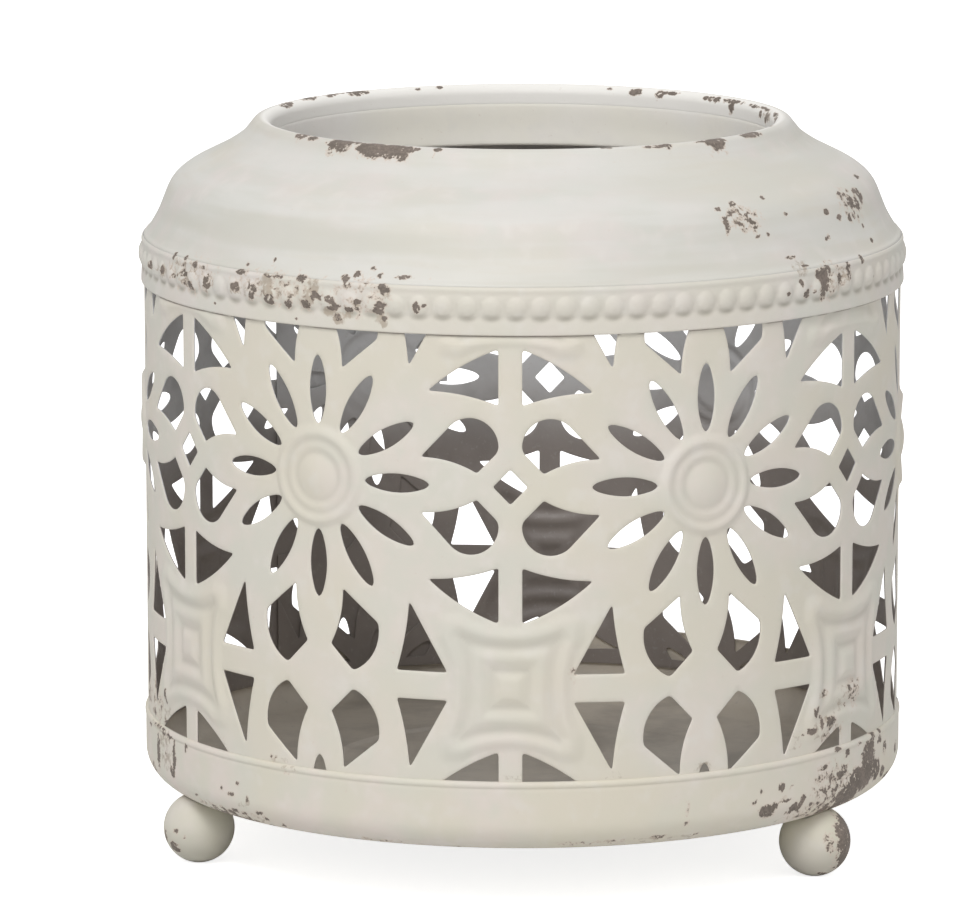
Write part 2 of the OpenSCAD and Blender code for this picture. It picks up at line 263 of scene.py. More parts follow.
def flake_clusters(places):
    """Marks of small flakes, wider than high, scattered about places of
    (angle, radius, height, reach, count, seed)."""
    marks = []
    for angle, radius, height, reach, count, seed in places:
        dice = np.random.default_rng(seed)
        for _ in range(count):
            along, up = dice.normal(0, reach / 2, 2)
            size = 0.5 + 1.3 * dice.random() ** 2
            wide, high = size * (0.7 + dice.random()), size * (0.5 + 0.6 * dice.random())
            depth = 0.78 + 0.16 * dice.random()
            spot = angle + math.degrees(along / radius)
            marks.append((spot, radius, height + 0.6 * up, wide, high, depth))
    return marks


weld_gap = 0.001 * mm


def make_piece(name, node, points, faces, materials, skin, weld=True):
    """A smooth mesh that stands for a CAD node and moves with it. Skin is each face's material."""
    mesh = bpy.data.meshes.new(name)
    mesh.from_pydata(points.tolist(), [], faces)
    for material in materials:
        mesh.materials.append(material)
    mesh.polygons.foreach_set("material_index", skin)
    if weld:
        form = bmesh.new()
        form.from_mesh(mesh)
        bmesh.ops.remove_doubles(form, verts=form.verts, dist=weld_gap)
        bmesh.ops.recalc_face_normals(form, faces=form.faces)
        form.to_mesh(mesh)
        form.free()
    mesh.polygons.foreach_set("use_smooth", [True] * len(mesh.polygons))
    piece = bpy.data.objects.new(name, mesh)
    bpy.context.collection.objects.link(piece)
    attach(piece, "root")
    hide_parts(node)
    return piece


def spin_faces(rings, around):
    """Quads over a grid of points that closes both round the axis and round its outline."""
    ring, turn = np.meshgrid(np.arange(rings), np.arange(around))
    next_ring, next_turn = (ring + 1) % rings, (turn + 1) % around
    corners = [turn * rings + ring, next_turn * rings + ring]
    corners += [next_turn * rings + next_ring, turn * rings + next_ring]
    return np.stack(corners, -1).reshape(-1, 4)


def spin(name, node, outside, inside, around, materials):
    """A sheet spun from its outer line and its inner line, which follow each other."""
    outline = np.array(list(outside) + list(inside))
    turns = np.arange(around) * 360 / around
    points = round_axis(turns[:, None], outline[None, :, 0], outline[None, :, 1])
    skin = np.tile((np.arange(len(outline)) >= len(outside) - 1).astype(int), around)
    faces = spin_faces(len(outline), around).tolist()
    return make_piece(name, node, points.reshape(-1, 3), faces, materials, skin)


def bow(centre, radius, start, end, steps):
    """Points on an arc of an outline, with angles from the outward direction upwards."""
    turns = np.radians(np.linspace(start, end, steps + 1))
    return np.stack([centre[0] + radius * np.cos(turns), centre[1] + radius * np.sin(turns)], -1)


def even_line(start, end, step):
    """Evenly spaced points from start up to end, without end."""
    start, end = np.array(start), np.array(end)
    count = max(1, round(float(np.linalg.norm(end - start)) / step))
    return start + np.outer(np.arange(count) / count, end - start)


sheet = 0.5 * mm
pan_low, pan_high = (corner.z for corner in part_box("base_pan"))
pan_r = 99.2 * mm
pan_corner = 7.9 * mm
hem_r = 1.0 * mm
hem_r_out = pan_r + 0.2 * mm - hem_r
line_r, line_h, line_half = 52 * mm, 0.8 * mm, 2.4 * mm
hub_r, bend_gap, pan_around = 8 * mm, 1 * mm, 800
floor_step, under_step, band_step, inner_step = 6 * mm, 3 * mm, 1.1 * mm, 4 * mm
hem_top_gap, hem_side_gap = 0.6 * mm, 0.1 * mm
corner_centre = (pan_r - pan_corner, pan_low + pan_corner)
press = line_h * np.cos(np.linspace(-math.pi / 2, math.pi / 2, 9)) ** 2
press_r = line_r + line_half * np.linspace(-1, 1, 9)
under_line = np.stack([press_r, pan_low + press], -1)
over_line = under_line[::-1] + [0, sheet]
pan_outside = np.concatenate(
    [
        [[0, pan_low]],
        even_line((hub_r, pan_low), under_line[0], floor_step),
        under_line,
        even_line(under_line[-1] + [bend_gap, 0], (corner_centre[0], pan_low), under_step),
        bow(corner_centre, pan_corner, -90, 0, 14),
        even_line(
            (pan_r, corner_centre[1] + bend_gap), (pan_r, pan_high - 2 * hem_r), band_step
        ),
        [[pan_r, pan_high - 2 * hem_r - hem_side_gap]],
        bow((hem_r_out, pan_high - hem_r), hem_r, -45, 100, 12),
    ]
)
pan_inside = np.concatenate(
    [
        [[pan_r - sheet, pan_high - hem_top_gap]],
        even_line(
            (pan_r - sheet, pan_high - 2 * hem_r), (pan_r - sheet, corner_centre[1]), under_step
        ),
        bow(corner_centre, pan_corner - sheet, 0, -90, 10),
        even_line((corner_centre[0] - 2 * bend_gap, pan_low + sheet), over_line[0], inner_step),
        over_line,
        even_line(over_line[-1] - [bend_gap, 0], (hub_r, pan_low + sheet), floor_step),
        [[0, pan_low + sheet]],
    ]
)
pan = spin("pan", "base_pan", pan_outside, pan_inside, pan_around, [pan_paint, pan_primer])
pan_wear = [
    # the bare patch over the right foot, and the flakes beside it
    (65.8, 99.2, 28.4, 3.9, 3.5, 1.12), (68.6, 99.2, 24.5, 3.1, 2.6, 1.0),
    (63.5, 99.1, 23.8, 6.6, 3.0, 1.12), (59.6, 98.2, 21.1, 5.4, 2.4, 1.12),
    (58.2, 96.2, 18.9, 7.0, 1.2, 1.0), (54.2, 96.2, 18.9, 2.2, 1.2, 0.90),
    (54, 93, 16.8, 5.0, 1.0, 0.84), (67.2, 99.2, 32, 1.6, 1.8, 0.86),
    (70.5, 99.2, 31.5, 1.6, 1.2, 0.70), (73, 99.2, 28.6, 1.6, 1.6, 0.70),
    (72, 98.6, 22.4, 1.8, 1.4, 0.84), (76, 97.6, 20.4, 3.4, 1.0, 0.74),
    (52.5, 99.2, 30.5, 1.9, 0.4, 0.78), (43.2, 99.2, 27.5, 1.3, 1.0, 0.88),
    (44.2, 99.2, 24.2, 2.3, 0.6, 0.88), (46.5, 98.6, 21.8, 2.1, 1.0, 0.92),
    (45, 98, 20.9, 1.1, 0.6, 0.82), (40.5, 98.7, 22.2, 2.6, 1.5, 0.98),
    (41.9, 99.0, 23.3, 0.7, 0.7, 0.88), (47.8, 99.1, 23.5, 0.9, 0.9, 0.88),
    (49.8, 98.5, 21.5, 1.0, 0.5, 0.86), (39.2, 99.2, 27.2, 0.5, 0.9, 0.70),
    (38, 99.2, 24.8, 0.9, 0.5, 0.76), (45.2, 99.2, 27, 0.6, 0.6, 0.70),
    (51.5, 93, 16.8, 1.2, 0.6, 0.82), (57, 99.2, 27, 2.0, 0.6, 0.82),
    (56.2, 99.2, 24.2, 1.0, 0.9, 0.84), (55, 99.2, 24.5, 9, 6, 0.43),
    (52, 96.6, 19.4, 10, 2.2, 0.46), (55.8, 99.5, 33.9, 1.6, 0.8, 0.88),
    (58.8, 99.2, 32, 1.5, 1.0, 0.86), (81, 99.0, 26, 1.8, 1.4, 0.74),
    (62.5, 99.4, 33.2, 1.2, 0.6, 0.80), (70, 99.2, 34, 1.0, 0.8, 0.74),
    # the worn corner over the left foot
    (-70.4, 99.2, 27.5, 1.5, 4.6, 0.82), (-63.2, 99.2, 28.4, 1.1, 4.2, 0.80),
    (-63.8, 99.0, 24.2, 1.6, 1.6, 0.86), (-66, 99.2, 33, 5.2, 0.6, 0.66),
    (-69, 99.5, 34.2, 4.2, 0.6, 0.68), (-66.8, 99.2, 27.5, 0.6, 1.2, 0.66),
    (-58.8, 99.2, 32.2, 0.9, 1.0, 0.78), (-74, 98.5, 22.0, 2.0, 1.3, 0.74),
    (-72, 99.5, 33.9, 1.4, 0.6, 0.82), (-76, 99.2, 32.2, 1.6, 0.6, 0.78),
    (-48.8, 99.2, 25.2, 1.0, 0.6, 0.84), (-46.8, 99.1, 23.8, 1.3, 0.3, 0.78),
    (-45.2, 99.2, 27, 0.7, 0.5, 0.62), (-56.5, 97.8, 20.8, 0.7, 0.4, 0.68),
    (-43, 99.1, 23.5, 0.6, 1.0, 0.66), (-46.8, 97.2, 20, 0.8, 0.7, 0.86),
    (-51.5, 94.9, 18.1, 0.8, 0.9, 0.82), (-54, 94, 17.4, 1.0, 0.7, 0.80),
    (-56.5, 92.5, 16.8, 1.2, 0.8, 0.80), (-60, 93, 17.0, 2.8, 0.6, 0.78),
    (-47.8, 92.4, 16.6, 1.1, 0.7, 0.90), (-51.8, 92.4, 16.6, 1.2, 0.4, 0.80),
    (-41.2, 97.7, 20.6, 1.3, 0.5, 0.86), (-39.8, 96.8, 19.6, 0.6, 0.7, 0.78),
    (-40.5, 93.8, 17.5, 1.4, 0.8, 0.74), (-40, 92.4, 16.7, 0.9, 0.5, 0.88),
    (-37, 95.6, 18.6, 0.7, 0.8, 0.80), (-44.5, 95.5, 18.4, 0.7, 0.5, 0.76),
    (-35.2, 99.2, 32.2, 1.1, 0.8, 0.56), (-49, 95.5, 18.6, 11, 2.0, 0.50),
    (-50, 93.5, 17.2, 10, 1.0, 0.55),
    # small flakes along the front's lower edge
    (22.2, 96.5, 19.3, 2.6, 0.5, 0.44), (27, 94.2, 17.7, 3.6, 0.6, 0.50),
    (26.5, 99.2, 25.8, 0.6, 2.2, 0.36), (32.8, 92.9, 17.0, 1.2, 0.7, 0.88),
    (28.5, 96.3, 19.1, 0.8, 0.5, 0.76), (26.2, 98.6, 21.8, 0.7, 0.6, 0.62),
    (12, 96, 18.3, 9, 1.0, 0.34), (-20, 95, 17.8, 8, 0.8, 0.34), (-8, 94, 17.2, 1.0, 0.4, 0.62),
    # round the back
    (118, 98.6, 22, 9, 2.4, 0.34), (-112, 98.4, 21.5, 9, 2.4, 0.34),
]
pan_flakes = [
    (118, 98.6, 22.5, 9, 12, 1), (150, 98, 20.8, 7, 9, 2), (-142, 98.8, 24, 6, 7, 3),
    (-112, 98.4, 21.5, 10, 11, 4), (95, 99.2, 31, 5, 5, 5), (-168, 99.2, 31.5, 7, 6, 6),
]
wear_down(pan, pan_wear + flake_clusters(pan_flakes))
pan_rub = [
    (-66.8, 99.2, 28.5, 4.6, 4.4, 0.66), (-69.8, 99.4, 34.0, 8, 0.9, 0.66),
    (-43, 99.1, 23.2, 0.8, 1.4, 0.70), (-44.4, 98.6, 21.6, 1.5, 0.7, 0.64),
    (-47, 95.5, 18.6, 10, 1.4, 0.56), (-34.5, 99.6, 33.8, 3, 0.9, 0.50),
    (24, 95.5, 18.6, 8, 0.8, 0.50), (46, 96.5, 19.2, 6, 0.9, 0.50), (-25, 93, 17.0, 9, 0.6, 0.44),
]
wear_down(pan, pan_rub, "rub")


# Feet: three turned balls, painted cream like the pan that nests on them. Each has a small flat
# worn on its underside, and is held by a tenon that is headed over inside the pan.
# The feet's cream is a darker, more olive copy of the pan's, as painted shade and warm bounce under
# the pan.
foot_paint_shaded = cream_paint(
    "foot_paint_shaded", (0.610, 0.590, 0.500, 1), (0.640, 0.600, 0.535, 1), (0.610, 0.575, 0.450, 1)
)
foot_r, foot_flat, foot_ring_r = 9.2 * mm, 0.3 * mm, 92.1 * mm
head_r, head_h, head_fullness = 3.4 * mm, 1.4 * mm, 0.8
seat_gap, head_gap, steepest = 0.08 * mm, 0.02 * mm, 0.95
foot_around, foot_rings, head_rings = 72, 48, 9
shade_start, shade_run, most_shade = 0.25, 1.1, 0.8


def seat_under_pan(points):
    """Moves points that lie inside the pan's sheet down and out on to its underside."""
    reach = np.hypot(points[:, 0], points[:, 1])
    flat = reach <= corner_centre[0]
    points[flat, 2] = np.minimum(points[flat, 2], pan_low - seat_gap)
    offset = np.stack([reach - corner_centre[0], points[:, 2] - corner_centre[1]], -1)
    far = np.maximum(np.linalg.norm(offset, axis=1), 1e-9)
    near = ~flat & (far < pan_corner + seat_gap)
    grown = corner_centre + offset * ((pan_corner + seat_gap) / far)[:, None]
    scale = grown[near, 0] / reach[near]
    points[near, :2] *= scale[:, None]
    points[near, 2] = grown[near, 1]


def rest_on_pan(points):
    """Raises points that lie below the pan's inner face on to it."""
    reach = np.hypot(points[:, 0], points[:, 1])
    inner = pan_corner - sheet
    side = np.clip(reach - corner_centre[0], 0, inner * steepest)
    face = corner_centre[1] - np.sqrt(inner**2 - side**2) + head_gap
    points[:, 2] = np.maximum(points[:, 2], face)


def ball_foot(name, node, spots):
    """A foot, worn at spots of (way from its middle, half width, height share, depth)."""
    low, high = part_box(node)
    middle = (low + high) / 2
    turn = math.degrees(math.atan2(middle.x, -middle.y))
    centre = Vector(round_axis(turn, foot_ring_r, foot_r - foot_flat))
    turns = np.arange(foot_around) * 360 / foot_around
    rise = np.radians(np.linspace(-90, 90, foot_rings))
    ball = round_axis(turns[:, None], foot_r * np.cos(rise)[None], foot_r * np.sin(rise)[None])
    ball = ball.reshape(-1, 3) + np.array(centre)
    ball[:, 2] = np.maximum(ball[:, 2], 0.0)
    seat_under_pan(ball)
    cap = np.linspace(0, 1, head_rings)
    cap_r = head_r * np.concatenate([[0], cap[1:], cap[::-1]])
    cap_z = np.concatenate([np.zeros(head_rings), head_h * (1 - cap[::-1] ** 2) ** head_fullness])
    head = round_axis(turns[:, None], cap_r[None], cap_z[None])
    head = head.reshape(-1, 3) + np.array([centre.x, centre.y, pan_low + sheet])
    rest_on_pan(head)
    faces = spin_faces(foot_rings, foot_around).tolist()
    faces += (spin_faces(len(cap_r), foot_around) + len(ball)).tolist()
    points = np.concatenate([ball, head])
    skin = [0] * len(ball) + [1] * len(head)
    foot = make_piece(name, node, points, faces, [foot_paint_shaded, pan_primer], skin)
    marks = []
    for way, wide, high_share, depth in spots:
        spot = centre + Vector(way).normalized() * foot_r
        angle = math.degrees(math.atan2(spot.x, -spot.y))
        reach = math.hypot(spot.x, spot.y)
        marks.append((angle, reach / mm, spot.z / mm, wide, wide * high_share, depth))
    wear_down(foot, marks)
    # Painted shade and grime, darker towards the underside, under the pan.
    under = (centre.z - rows_of(foot.data.vertices, "co")[:, 2]) / foot_r
    shade = np.clip((under + shade_start) / shade_run, 0, most_shade)
    write_share(foot, "shade_and_grime", shade)


ball_foot(
    "ball_foot_left",
    "foot_left",
    [
        ((-0.63, -0.63, -0.455), 1.5, 1.1, 0.95),
        ((-0.59, -0.80, 0.06), 0.6, 1.3, 0.92),
        ((-0.34, -0.94, -0.085), 0.6, 0.8, 0.80),
        ((-0.91, -0.38, -0.175), 0.9, 1.8, 0.85),
        ((0.2, 0.9, -0.2), 4.0, 1.0, 0.55),
    ],
)
ball_foot(
    "ball_foot_right",
    "foot_right",
    [
        ((0.99, -0.08, 0.02), 6.2, 1.1, 1.15),
        ((0.66, -0.66, 0.42), 1.4, 0.7, 0.84),
        ((0.42, -0.90, 0.10), 1.2, 2.4, 0.50),
        ((0.47, -0.87, 0.06), 0.6, 0.8, 0.84),
        ((0.52, -0.60, -0.62), 1.6, 0.4, 0.80),
        ((0.22, -0.50, -0.84), 2.0, 0.4, 0.74),
    ],
)
ball_foot(
    "ball_foot_back",
    "foot_back",
    [((0.1, 0.9, 0.1), 3.2, 1.2, 0.62), ((-0.8, 0.2, -0.3), 2.4, 1.0, 0.62)],
)


# Wall: one long strip of steel sheet, pierced and pressed flat, then rolled up by hand with its
# ends lapped at the back, so that its rows climb a little round the lantern. Flowers with domed
# bosses stand over squares with nested frames. It is cream outside and primer grey inside.
wall_paint = cream_paint(
    "wall_paint",
    (0.632, 0.612, 0.540, 1),
    (0.672, 0.618, 0.556, 1),
    (0.648, 0.606, 0.508, 1),
    # painted shade and dirt in a thin line just under the band's lower edge
    painted_shade_seam=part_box("bead_band")[0].z,
)
# Inside, the primer runs from brown low down to light grey up high; the light grey is partly
# painted light, falling in through the neck.
wall_primer = primer_coat(
    "wall_primer", (0.300, 0.265, 0.245, 1), (0.64, 0.64, 0.645, 1), 82 * mm, 112 * mm
)
wall_low, wall_high = (corner.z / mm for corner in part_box("pierced_wall"))
band_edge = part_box("bead_band")[0].z / mm
wall_r, flower_count, flower_z = 98.6, 6, 109.4
tile = math.pi * wall_r / flower_count
row_step = 0.986 * tile
square_z = flower_z - row_step
plain_edge, least_hole = 3.0, 0.5
sheet_mm = sheet / mm
edge_step, trace_step, least_gap = 0.95, 0.08, 0.12

# Outlines in shares of the tile, corner by corner: place, swell of the side that leaves it to
# the left of the way, and how much the corner is rounded, in millimetres.
diamond = [((0.088 * x, 0.088 * y), 0, 0.7) for x, y in ((1, 0), (0, 1), (-1, 0), (0, -1))]
teardrop = [
    ((0.166, 0.063), 0.021, 0.7),
    ((0.454, 0.133), 0, 1.4),
    ((0.3078, 0.2843), -0.1044, 0),
    ((0.0588, 0.1701), 0, 1.3),
]
curved_triangle = [
    ((0.058, 0.394), 0.0165, 0.9),
    ((0.415, 0.458), -0.020, 1.3),
    ((0.058, 0.671), 0, 1.2),
]
tall_triangle = [
    ((0.313, 0.068), 0, 1.0),
    ((0.578, 0.068), 0.011, 0.9),
    ((0.511, 0.418), 0, 1.9),
]
cross_hole = [
    ((0.066, 0.167), 0, 0.7),
    ((0.189, 0.0439), -0.0513, 1.1),
    ((0.3272, 0.2918), 0, 0.8),
    ((0.1345, 0.449), 0.0195, 1.2),
]
petal_slot = [((0.1947, 0), -0.04775, 3.0), ((-0.1947, 0), -0.04775, 3.0)]
petal_reach = 0.426 * tile


def swollen_side(start, end, swell):
    """Points from start to end on a circle that swells to the left of the way."""
    way = end - start
    chord = np.linalg.norm(way)
    count = max(2, math.ceil(chord / trace_step))
    if swell == 0:
        return start + np.outer(np.linspace(0, 1, count + 1), way)
    side = np.array([-way[1], way[0]]) / chord * math.copysign(1, swell)
    rise = abs(swell)
    radius = (chord**2 / 4 + rise**2) / (2 * rise)
    half = math.atan2(chord / 2, radius - rise)
    turns = np.linspace(-half, half, count + 1)
    centre = (start + end) / 2 - side * (radius - rise)
    return centre + radius * (
        np.outer(np.cos(turns), side) + np.outer(np.sin(turns), way / chord)
    )


def cut_line(outline):
    """A hole's edge, with its corners rounded, as points in millimetres."""
    corners = [np.array(place) * tile for place, _, _ in outline]
    line, sides = [], []
    for i, (_, swell, rounding) in enumerate(outline):
        after = (i + 1) % len(outline)
        side = swollen_side(corners[i], corners[after], swell * tile)
        keep = np.linalg.norm(side - corners[i], axis=1) >= rounding
        keep &= np.linalg.norm(side - corners[after], axis=1) >= outline[after][2]
        sides.append(side[keep])
    for i, (_, _, rounding) in enumerate(outline):
        before, side = sides[i - 1], sides[i]
        if rounding:
            for t in (0.2, 0.4, 0.5, 0.6, 0.8):
                line.append(
                    (1 - t) ** 2 * before[-1] + 2 * t * (1 - t) * corners[i] + t * t * side[0]
                )
        length = np.linalg.norm(np.diff(side, axis=0), axis=1).sum()
        picks = np.linspace(0, len(side) - 1, max(2, round(length / edge_step)) + 1).astype(int)
        line += [side[k] for k in picks]
    kept = [line[0]]
    for point in line[1:]:
        if np.linalg.norm(point - kept[-1]) > least_gap:
            kept.append(point)
    if np.linalg.norm(kept[0] - kept[-1]) < least_gap:
        kept.pop()
    return np.array(kept)


def keep_between(line, low, high):
    """The part of a closed line between two heights."""
    for limit, way in ((low, 1), (high, -1)):
        kept = []
        for a, b in zip(line, np.roll(line, -1, axis=0)):
            a_in, b_in = way * (a[1] - limit) >= 0, way * (b[1] - limit) >= 0
            if a_in:
                kept.append(a)
            if a_in != b_in:
                kept.append(a + (b - a) * (limit - a[1]) / (b[1] - a[1]))
        line = np.array(kept)
        if len(line) < 3:
            return line
    return line


# One column of the wall: from the middle of a square to the middle of the next flower.
holes = []
flips = [np.array([1, 1]), np.array([1, -1])]
for row in (flower_z - 2 * row_step, flower_z):
    holes.append(cut_line(diamond) + [0, row])
    for flip in flips:
        holes.append(cut_line(teardrop) * flip + [0, row])
        holes.append(cut_line(curved_triangle) * flip + [0, row])
    for way in range(90, 271, 30):
        turn = np.array([math.cos(math.radians(way)), math.sin(math.radians(way))])
        slot = cut_line(petal_slot) @ np.array([turn, [-turn[1], turn[0]]])
        holes.append(slot + turn * petal_reach + [tile, row])
for row in (square_z, square_z + 2 * row_step):
    for flip in flips:
        holes.append(cut_line(tall_triangle) * flip + [0, row])
        holes.append(cut_line(cross_hole) * flip * [-1, 1] + [tile, row])
holes = [keep_between(h, wall_low + plain_edge, wall_high - plain_edge) for h in holes]
holes = [h for h in holes if len(h) > 3 and np.ptp(h[:, 1]) > least_hole]


def in_holes(points):
    """Whether each point lies in a hole, by counting the edges to its right."""
    inside = np.zeros(len(points), bool)
    for hole in holes:
        a, b = hole[None], np.roll(hole, -1, axis=0)[None]
        x, y = points[:, None, 0], points[:, None, 1]
        spans = (a[..., 1] > y) != (b[..., 1] > y)
        slope = (b[..., 0] - a[..., 0]) / np.where(b[..., 1] == a[..., 1], 1, b[..., 1] - a[..., 1])
        crossed = spans & (x < a[..., 0] + (y - a[..., 1]) * slope)
        inside |= crossed.sum(1) % 2 == 1
    return inside


def nearest(points, others):
    """The distance from each point to the nearest of the others."""
    batches = np.array_split(points, max(1, len(points) // 400))
    square = [((some[:, None] - others[None]) ** 2).sum(-1).min(1) for some in batches]
    return np.sqrt(np.concatenate(square))


def spread(low, high, step, skew=0.0):
    """A grid of points over a rectangle, with every other row moved along by skew."""
    across = np.arange(low[0], high[0], step)
    rows = []
    for k, height in enumerate(np.arange(low[1], high[1], step)):
        rows.append(np.stack([across + (k % 2) * skew, np.full(len(across), height)], -1))
    return np.concatenate(rows)


boss_reach, plate_reach = 14.0, 20.0
half_turn = 180 / flower_count
strip_start, strip_end = -168.0, 229.0

# Points for the column's triangles: a row along each hole, and finer grids where it is pressed.
rim_width, rim_gap, rim_clear, edge_clear, margin = 0.42, 0.34, 0.36, 0.62, 0.3
plain_step, plain_start, plain_stop = 1.5, 0.8, 0.4
ring_step, ring_gap, plate_step = 0.6, 0.8, 0.62
up_steps, across_steps = 150, 61
least_area, join_gap = 1e-6, 0.002
edge_points = np.concatenate(holes)
inset = []
for hole in holes:
    way = np.roll(hole, -1, axis=0) - np.roll(hole, 1, axis=0)
    side = np.stack([way[:, 1], -way[:, 0]], -1) / np.linalg.norm(way, axis=1)[:, None]
    area = np.cross(hole, np.roll(hole, -1, axis=0)).sum()
    inset.append(hole + rim_width * side * math.copysign(1, area))
inset = np.concatenate(inset)
inset = inset[~in_holes(inset) & (nearest(inset, edge_points) > rim_gap)]

flower_middle = np.array([tile, flower_z])
square_middles = [np.array([0.0, square_z]), np.array([0.0, square_z + 2 * row_step])]
plain_low = (plain_start, wall_low + plain_start)
plain_high = (tile - plain_stop, wall_high - plain_stop)
plain = spread(plain_low, plain_high, plain_step, plain_step / 2)
plain = plain[np.linalg.norm(plain - flower_middle, axis=1) > boss_reach]
for middle in square_middles:
    plain = plain[np.abs(plain - middle).max(1) > plate_reach]
rings = [flower_middle[None]]
for reach in np.arange(ring_step, boss_reach, ring_step):
    count = 2 * max(3, round(math.pi * reach / ring_gap))
    turns = np.radians(np.arange(count) * 360 / count)
    rings.append(flower_middle + reach * np.stack([np.cos(turns), np.sin(turns)], -1))
grids = [
    spread(middle - [0, plate_reach], middle + plate_reach, plate_step)
    for middle in square_middles
]
inner = np.concatenate([plain, *rings, *grids])
inner = inner[(inner[:, 0] > margin) & (inner[:, 0] < tile - margin)]
inner = inner[(inner[:, 1] > wall_low + margin) & (inner[:, 1] < wall_high - margin)]
inner = inner[~in_holes(inner)]
inner = inner[nearest(inner, edge_points) > edge_clear]
inner = inner[nearest(inner, inset) > rim_clear]
inset = inset[(inset[:, 0] > margin) & (inset[:, 0] < tile - margin)]

column = np.concatenate([inner, inset]).tolist()
edges = []


def add_chain(points, closed):
    """Adds points to the column, joined by edges that the triangles have to keep."""
    first = len(column)
    column.extend(points.tolist())
    count = len(points)
    for k in range(count if closed else count - 1):
        edges.append((first + k, first + (k + 1) % count))


for hole in holes:
    add_chain(hole, True)
up = np.linspace(wall_low, wall_high, up_steps)
cuts = []
for end in (strip_start, strip_end):
    share = end / half_turn % 1
    cuts.append(tile * (share if end // half_turn % 2 == 0 else 1 - share))
for x in (0.0, tile, *cuts):
    add_chain(np.stack([np.full(up_steps, x), up], -1), False)
across = np.linspace(0, tile, across_steps)
for height in (wall_low, wall_high):
    add_chain(np.stack([across, np.full(across_steps, height)], -1), False)
cut = delaunay_2d_cdt([Vector(p) for p in column], edges, [], 0, 1e-5, False)
flat = np.array([tuple(v) for v in cut[0]])
triangles = np.array([f for f in cut[2] if len(f) == 3])
middle = flat[triangles].mean(1)
solid = ~in_holes(middle) & (middle[:, 0] > 0) & (middle[:, 0] < tile)
solid &= (middle[:, 1] > wall_low) & (middle[:, 1] < wall_high)
a, b, c = (flat[triangles[:, k]] for k in range(3))
turned = np.cross(b - a, c - a)
triangles[turned < 0] = triangles[turned < 0][:, ::-1]
triangles = triangles[solid & (np.abs(turned) > least_area)]

# The column repeats along the strip, every other one mirrored.
flats, faces = [], []
for k in range(int(strip_start // half_turn), int(strip_end // half_turn) + 1):
    copy, order = flat.copy(), triangles
    if k % 2:
        copy[:, 0] = tile - copy[:, 0]
        order = triangles[:, ::-1]
    copy[:, 0] += k * tile
    faces.append(order + len(flats) * len(flat))
    flats.append(copy)
flats, faces = np.concatenate(flats), np.concatenate(faces)
_, picks, joined = np.unique(
    np.round(flats / join_gap).astype(int), axis=0, return_index=True, return_inverse=True
)
flats, faces = flats[picks], joined.reshape(-1)[faces]
at_middle = flats[faces].mean(1)[:, 0] * half_turn / tile
faces = faces[(at_middle > strip_start) & (at_middle < strip_end)]
faces = faces[(faces != np.roll(faces, -1, axis=1)).all(1)]


def rounded_steps(distance, knots):
    """A height that runs smoothly through knots of distance and height."""
    at, height = np.array(knots).T
    place = np.clip(np.searchsorted(at, distance, side="right") - 1, 0, len(at) - 2)
    t = np.clip((distance - at[place]) / (at[place + 1] - at[place]), 0, 1)
    return height[place] + (height[place + 1] - height[place]) * (1 - np.cos(math.pi * t)) / 2


# The relief, as distance from the middle and height, and its valleys, which get painted shade
# and grime, as distance and width.
flower_relief = [
    (0, 0.35), (6.1, 0.28), (7.7, 0.62), (9.2, 0.40), (11.0, 0.95), (13.4, 0), (60, 0),
]
square_relief = [
    (0, 1.0), (1.6, 0.96), (4.7, 0.07), (7.8, 0.85), (10.6, 0.08), (13.1, 0.85), (16.2, 0), (60, 0),
]
flower_valleys, square_valleys = ((6.1, 0.7), (9.2, 0.7)), ((4.7, 0.8), (10.6, 0.9))
dome_r, dome_h = 5.8, 0.95
# How much painted shade and grime the valleys get: more under level ledges than upright ones, as
# the light falls from above, with a cap and a share.
level_shade_and_grime, upright_shade_and_grime, most_shade_and_grime, shade_and_grime_share = 1.5, 0.55, 1.6, 0.45
waist, waist_r, waist_start, waist_run = 0.09, 12.5, 7, 6
frame_power, band_grip = 14, 2.2


def valley_shade_and_grime(distance, valleys):
    """How near each distance is to the bottom of a valley."""
    return sum(np.exp(-(((distance - at) / width) ** 2)) for at, width in valleys)


def pressed(points):
    """Height of the relief, and how much painted shade and grime each point gets in the valleys,
    more under level ledges than upright ones.
    """
    fold = np.abs((points[:, 0] + tile) % (2 * tile) - tile)
    flower = np.hypot(tile - fold, points[:, 1] - flower_z)
    height = rounded_steps(flower, flower_relief)
    height += dome_h * np.clip(1 - (flower / dome_r) ** 2, 0, 1)
    shade_and_grime = valley_shade_and_grime(flower, flower_valleys)
    for middle in square_middles:
        x, y = fold, np.abs(points[:, 1] - middle[1])
        pull = waist * (1 + np.clip((np.maximum(x, y) - waist_start) / waist_run, 0, 1))
        up = y * (1 - pull * np.minimum(x / waist_r, 1) ** 2)
        out = x * (1 - pull * np.minimum(y / waist_r, 1) ** 2)
        frame_at = (up**frame_power + out**frame_power) ** (1 / frame_power)
        near = (x < plate_reach) & (y < plate_reach)
        height += np.where(near, rounded_steps(frame_at, square_relief), 0)
        # Level ledges get more painted shade than upright ones, as the light falls from above.
        ledge_shade_and_grime = near * np.where(up > out, level_shade_and_grime, upright_shade_and_grime)
        shade_and_grime += ledge_shade_and_grime * valley_shade_and_grime(frame_at, square_valleys)
    grip = np.clip((band_edge - points[:, 1]) / band_grip, 0, 1)
    return height * gentle(grip), np.clip(shade_and_grime, 0, most_shade_and_grime) * shade_and_grime_share


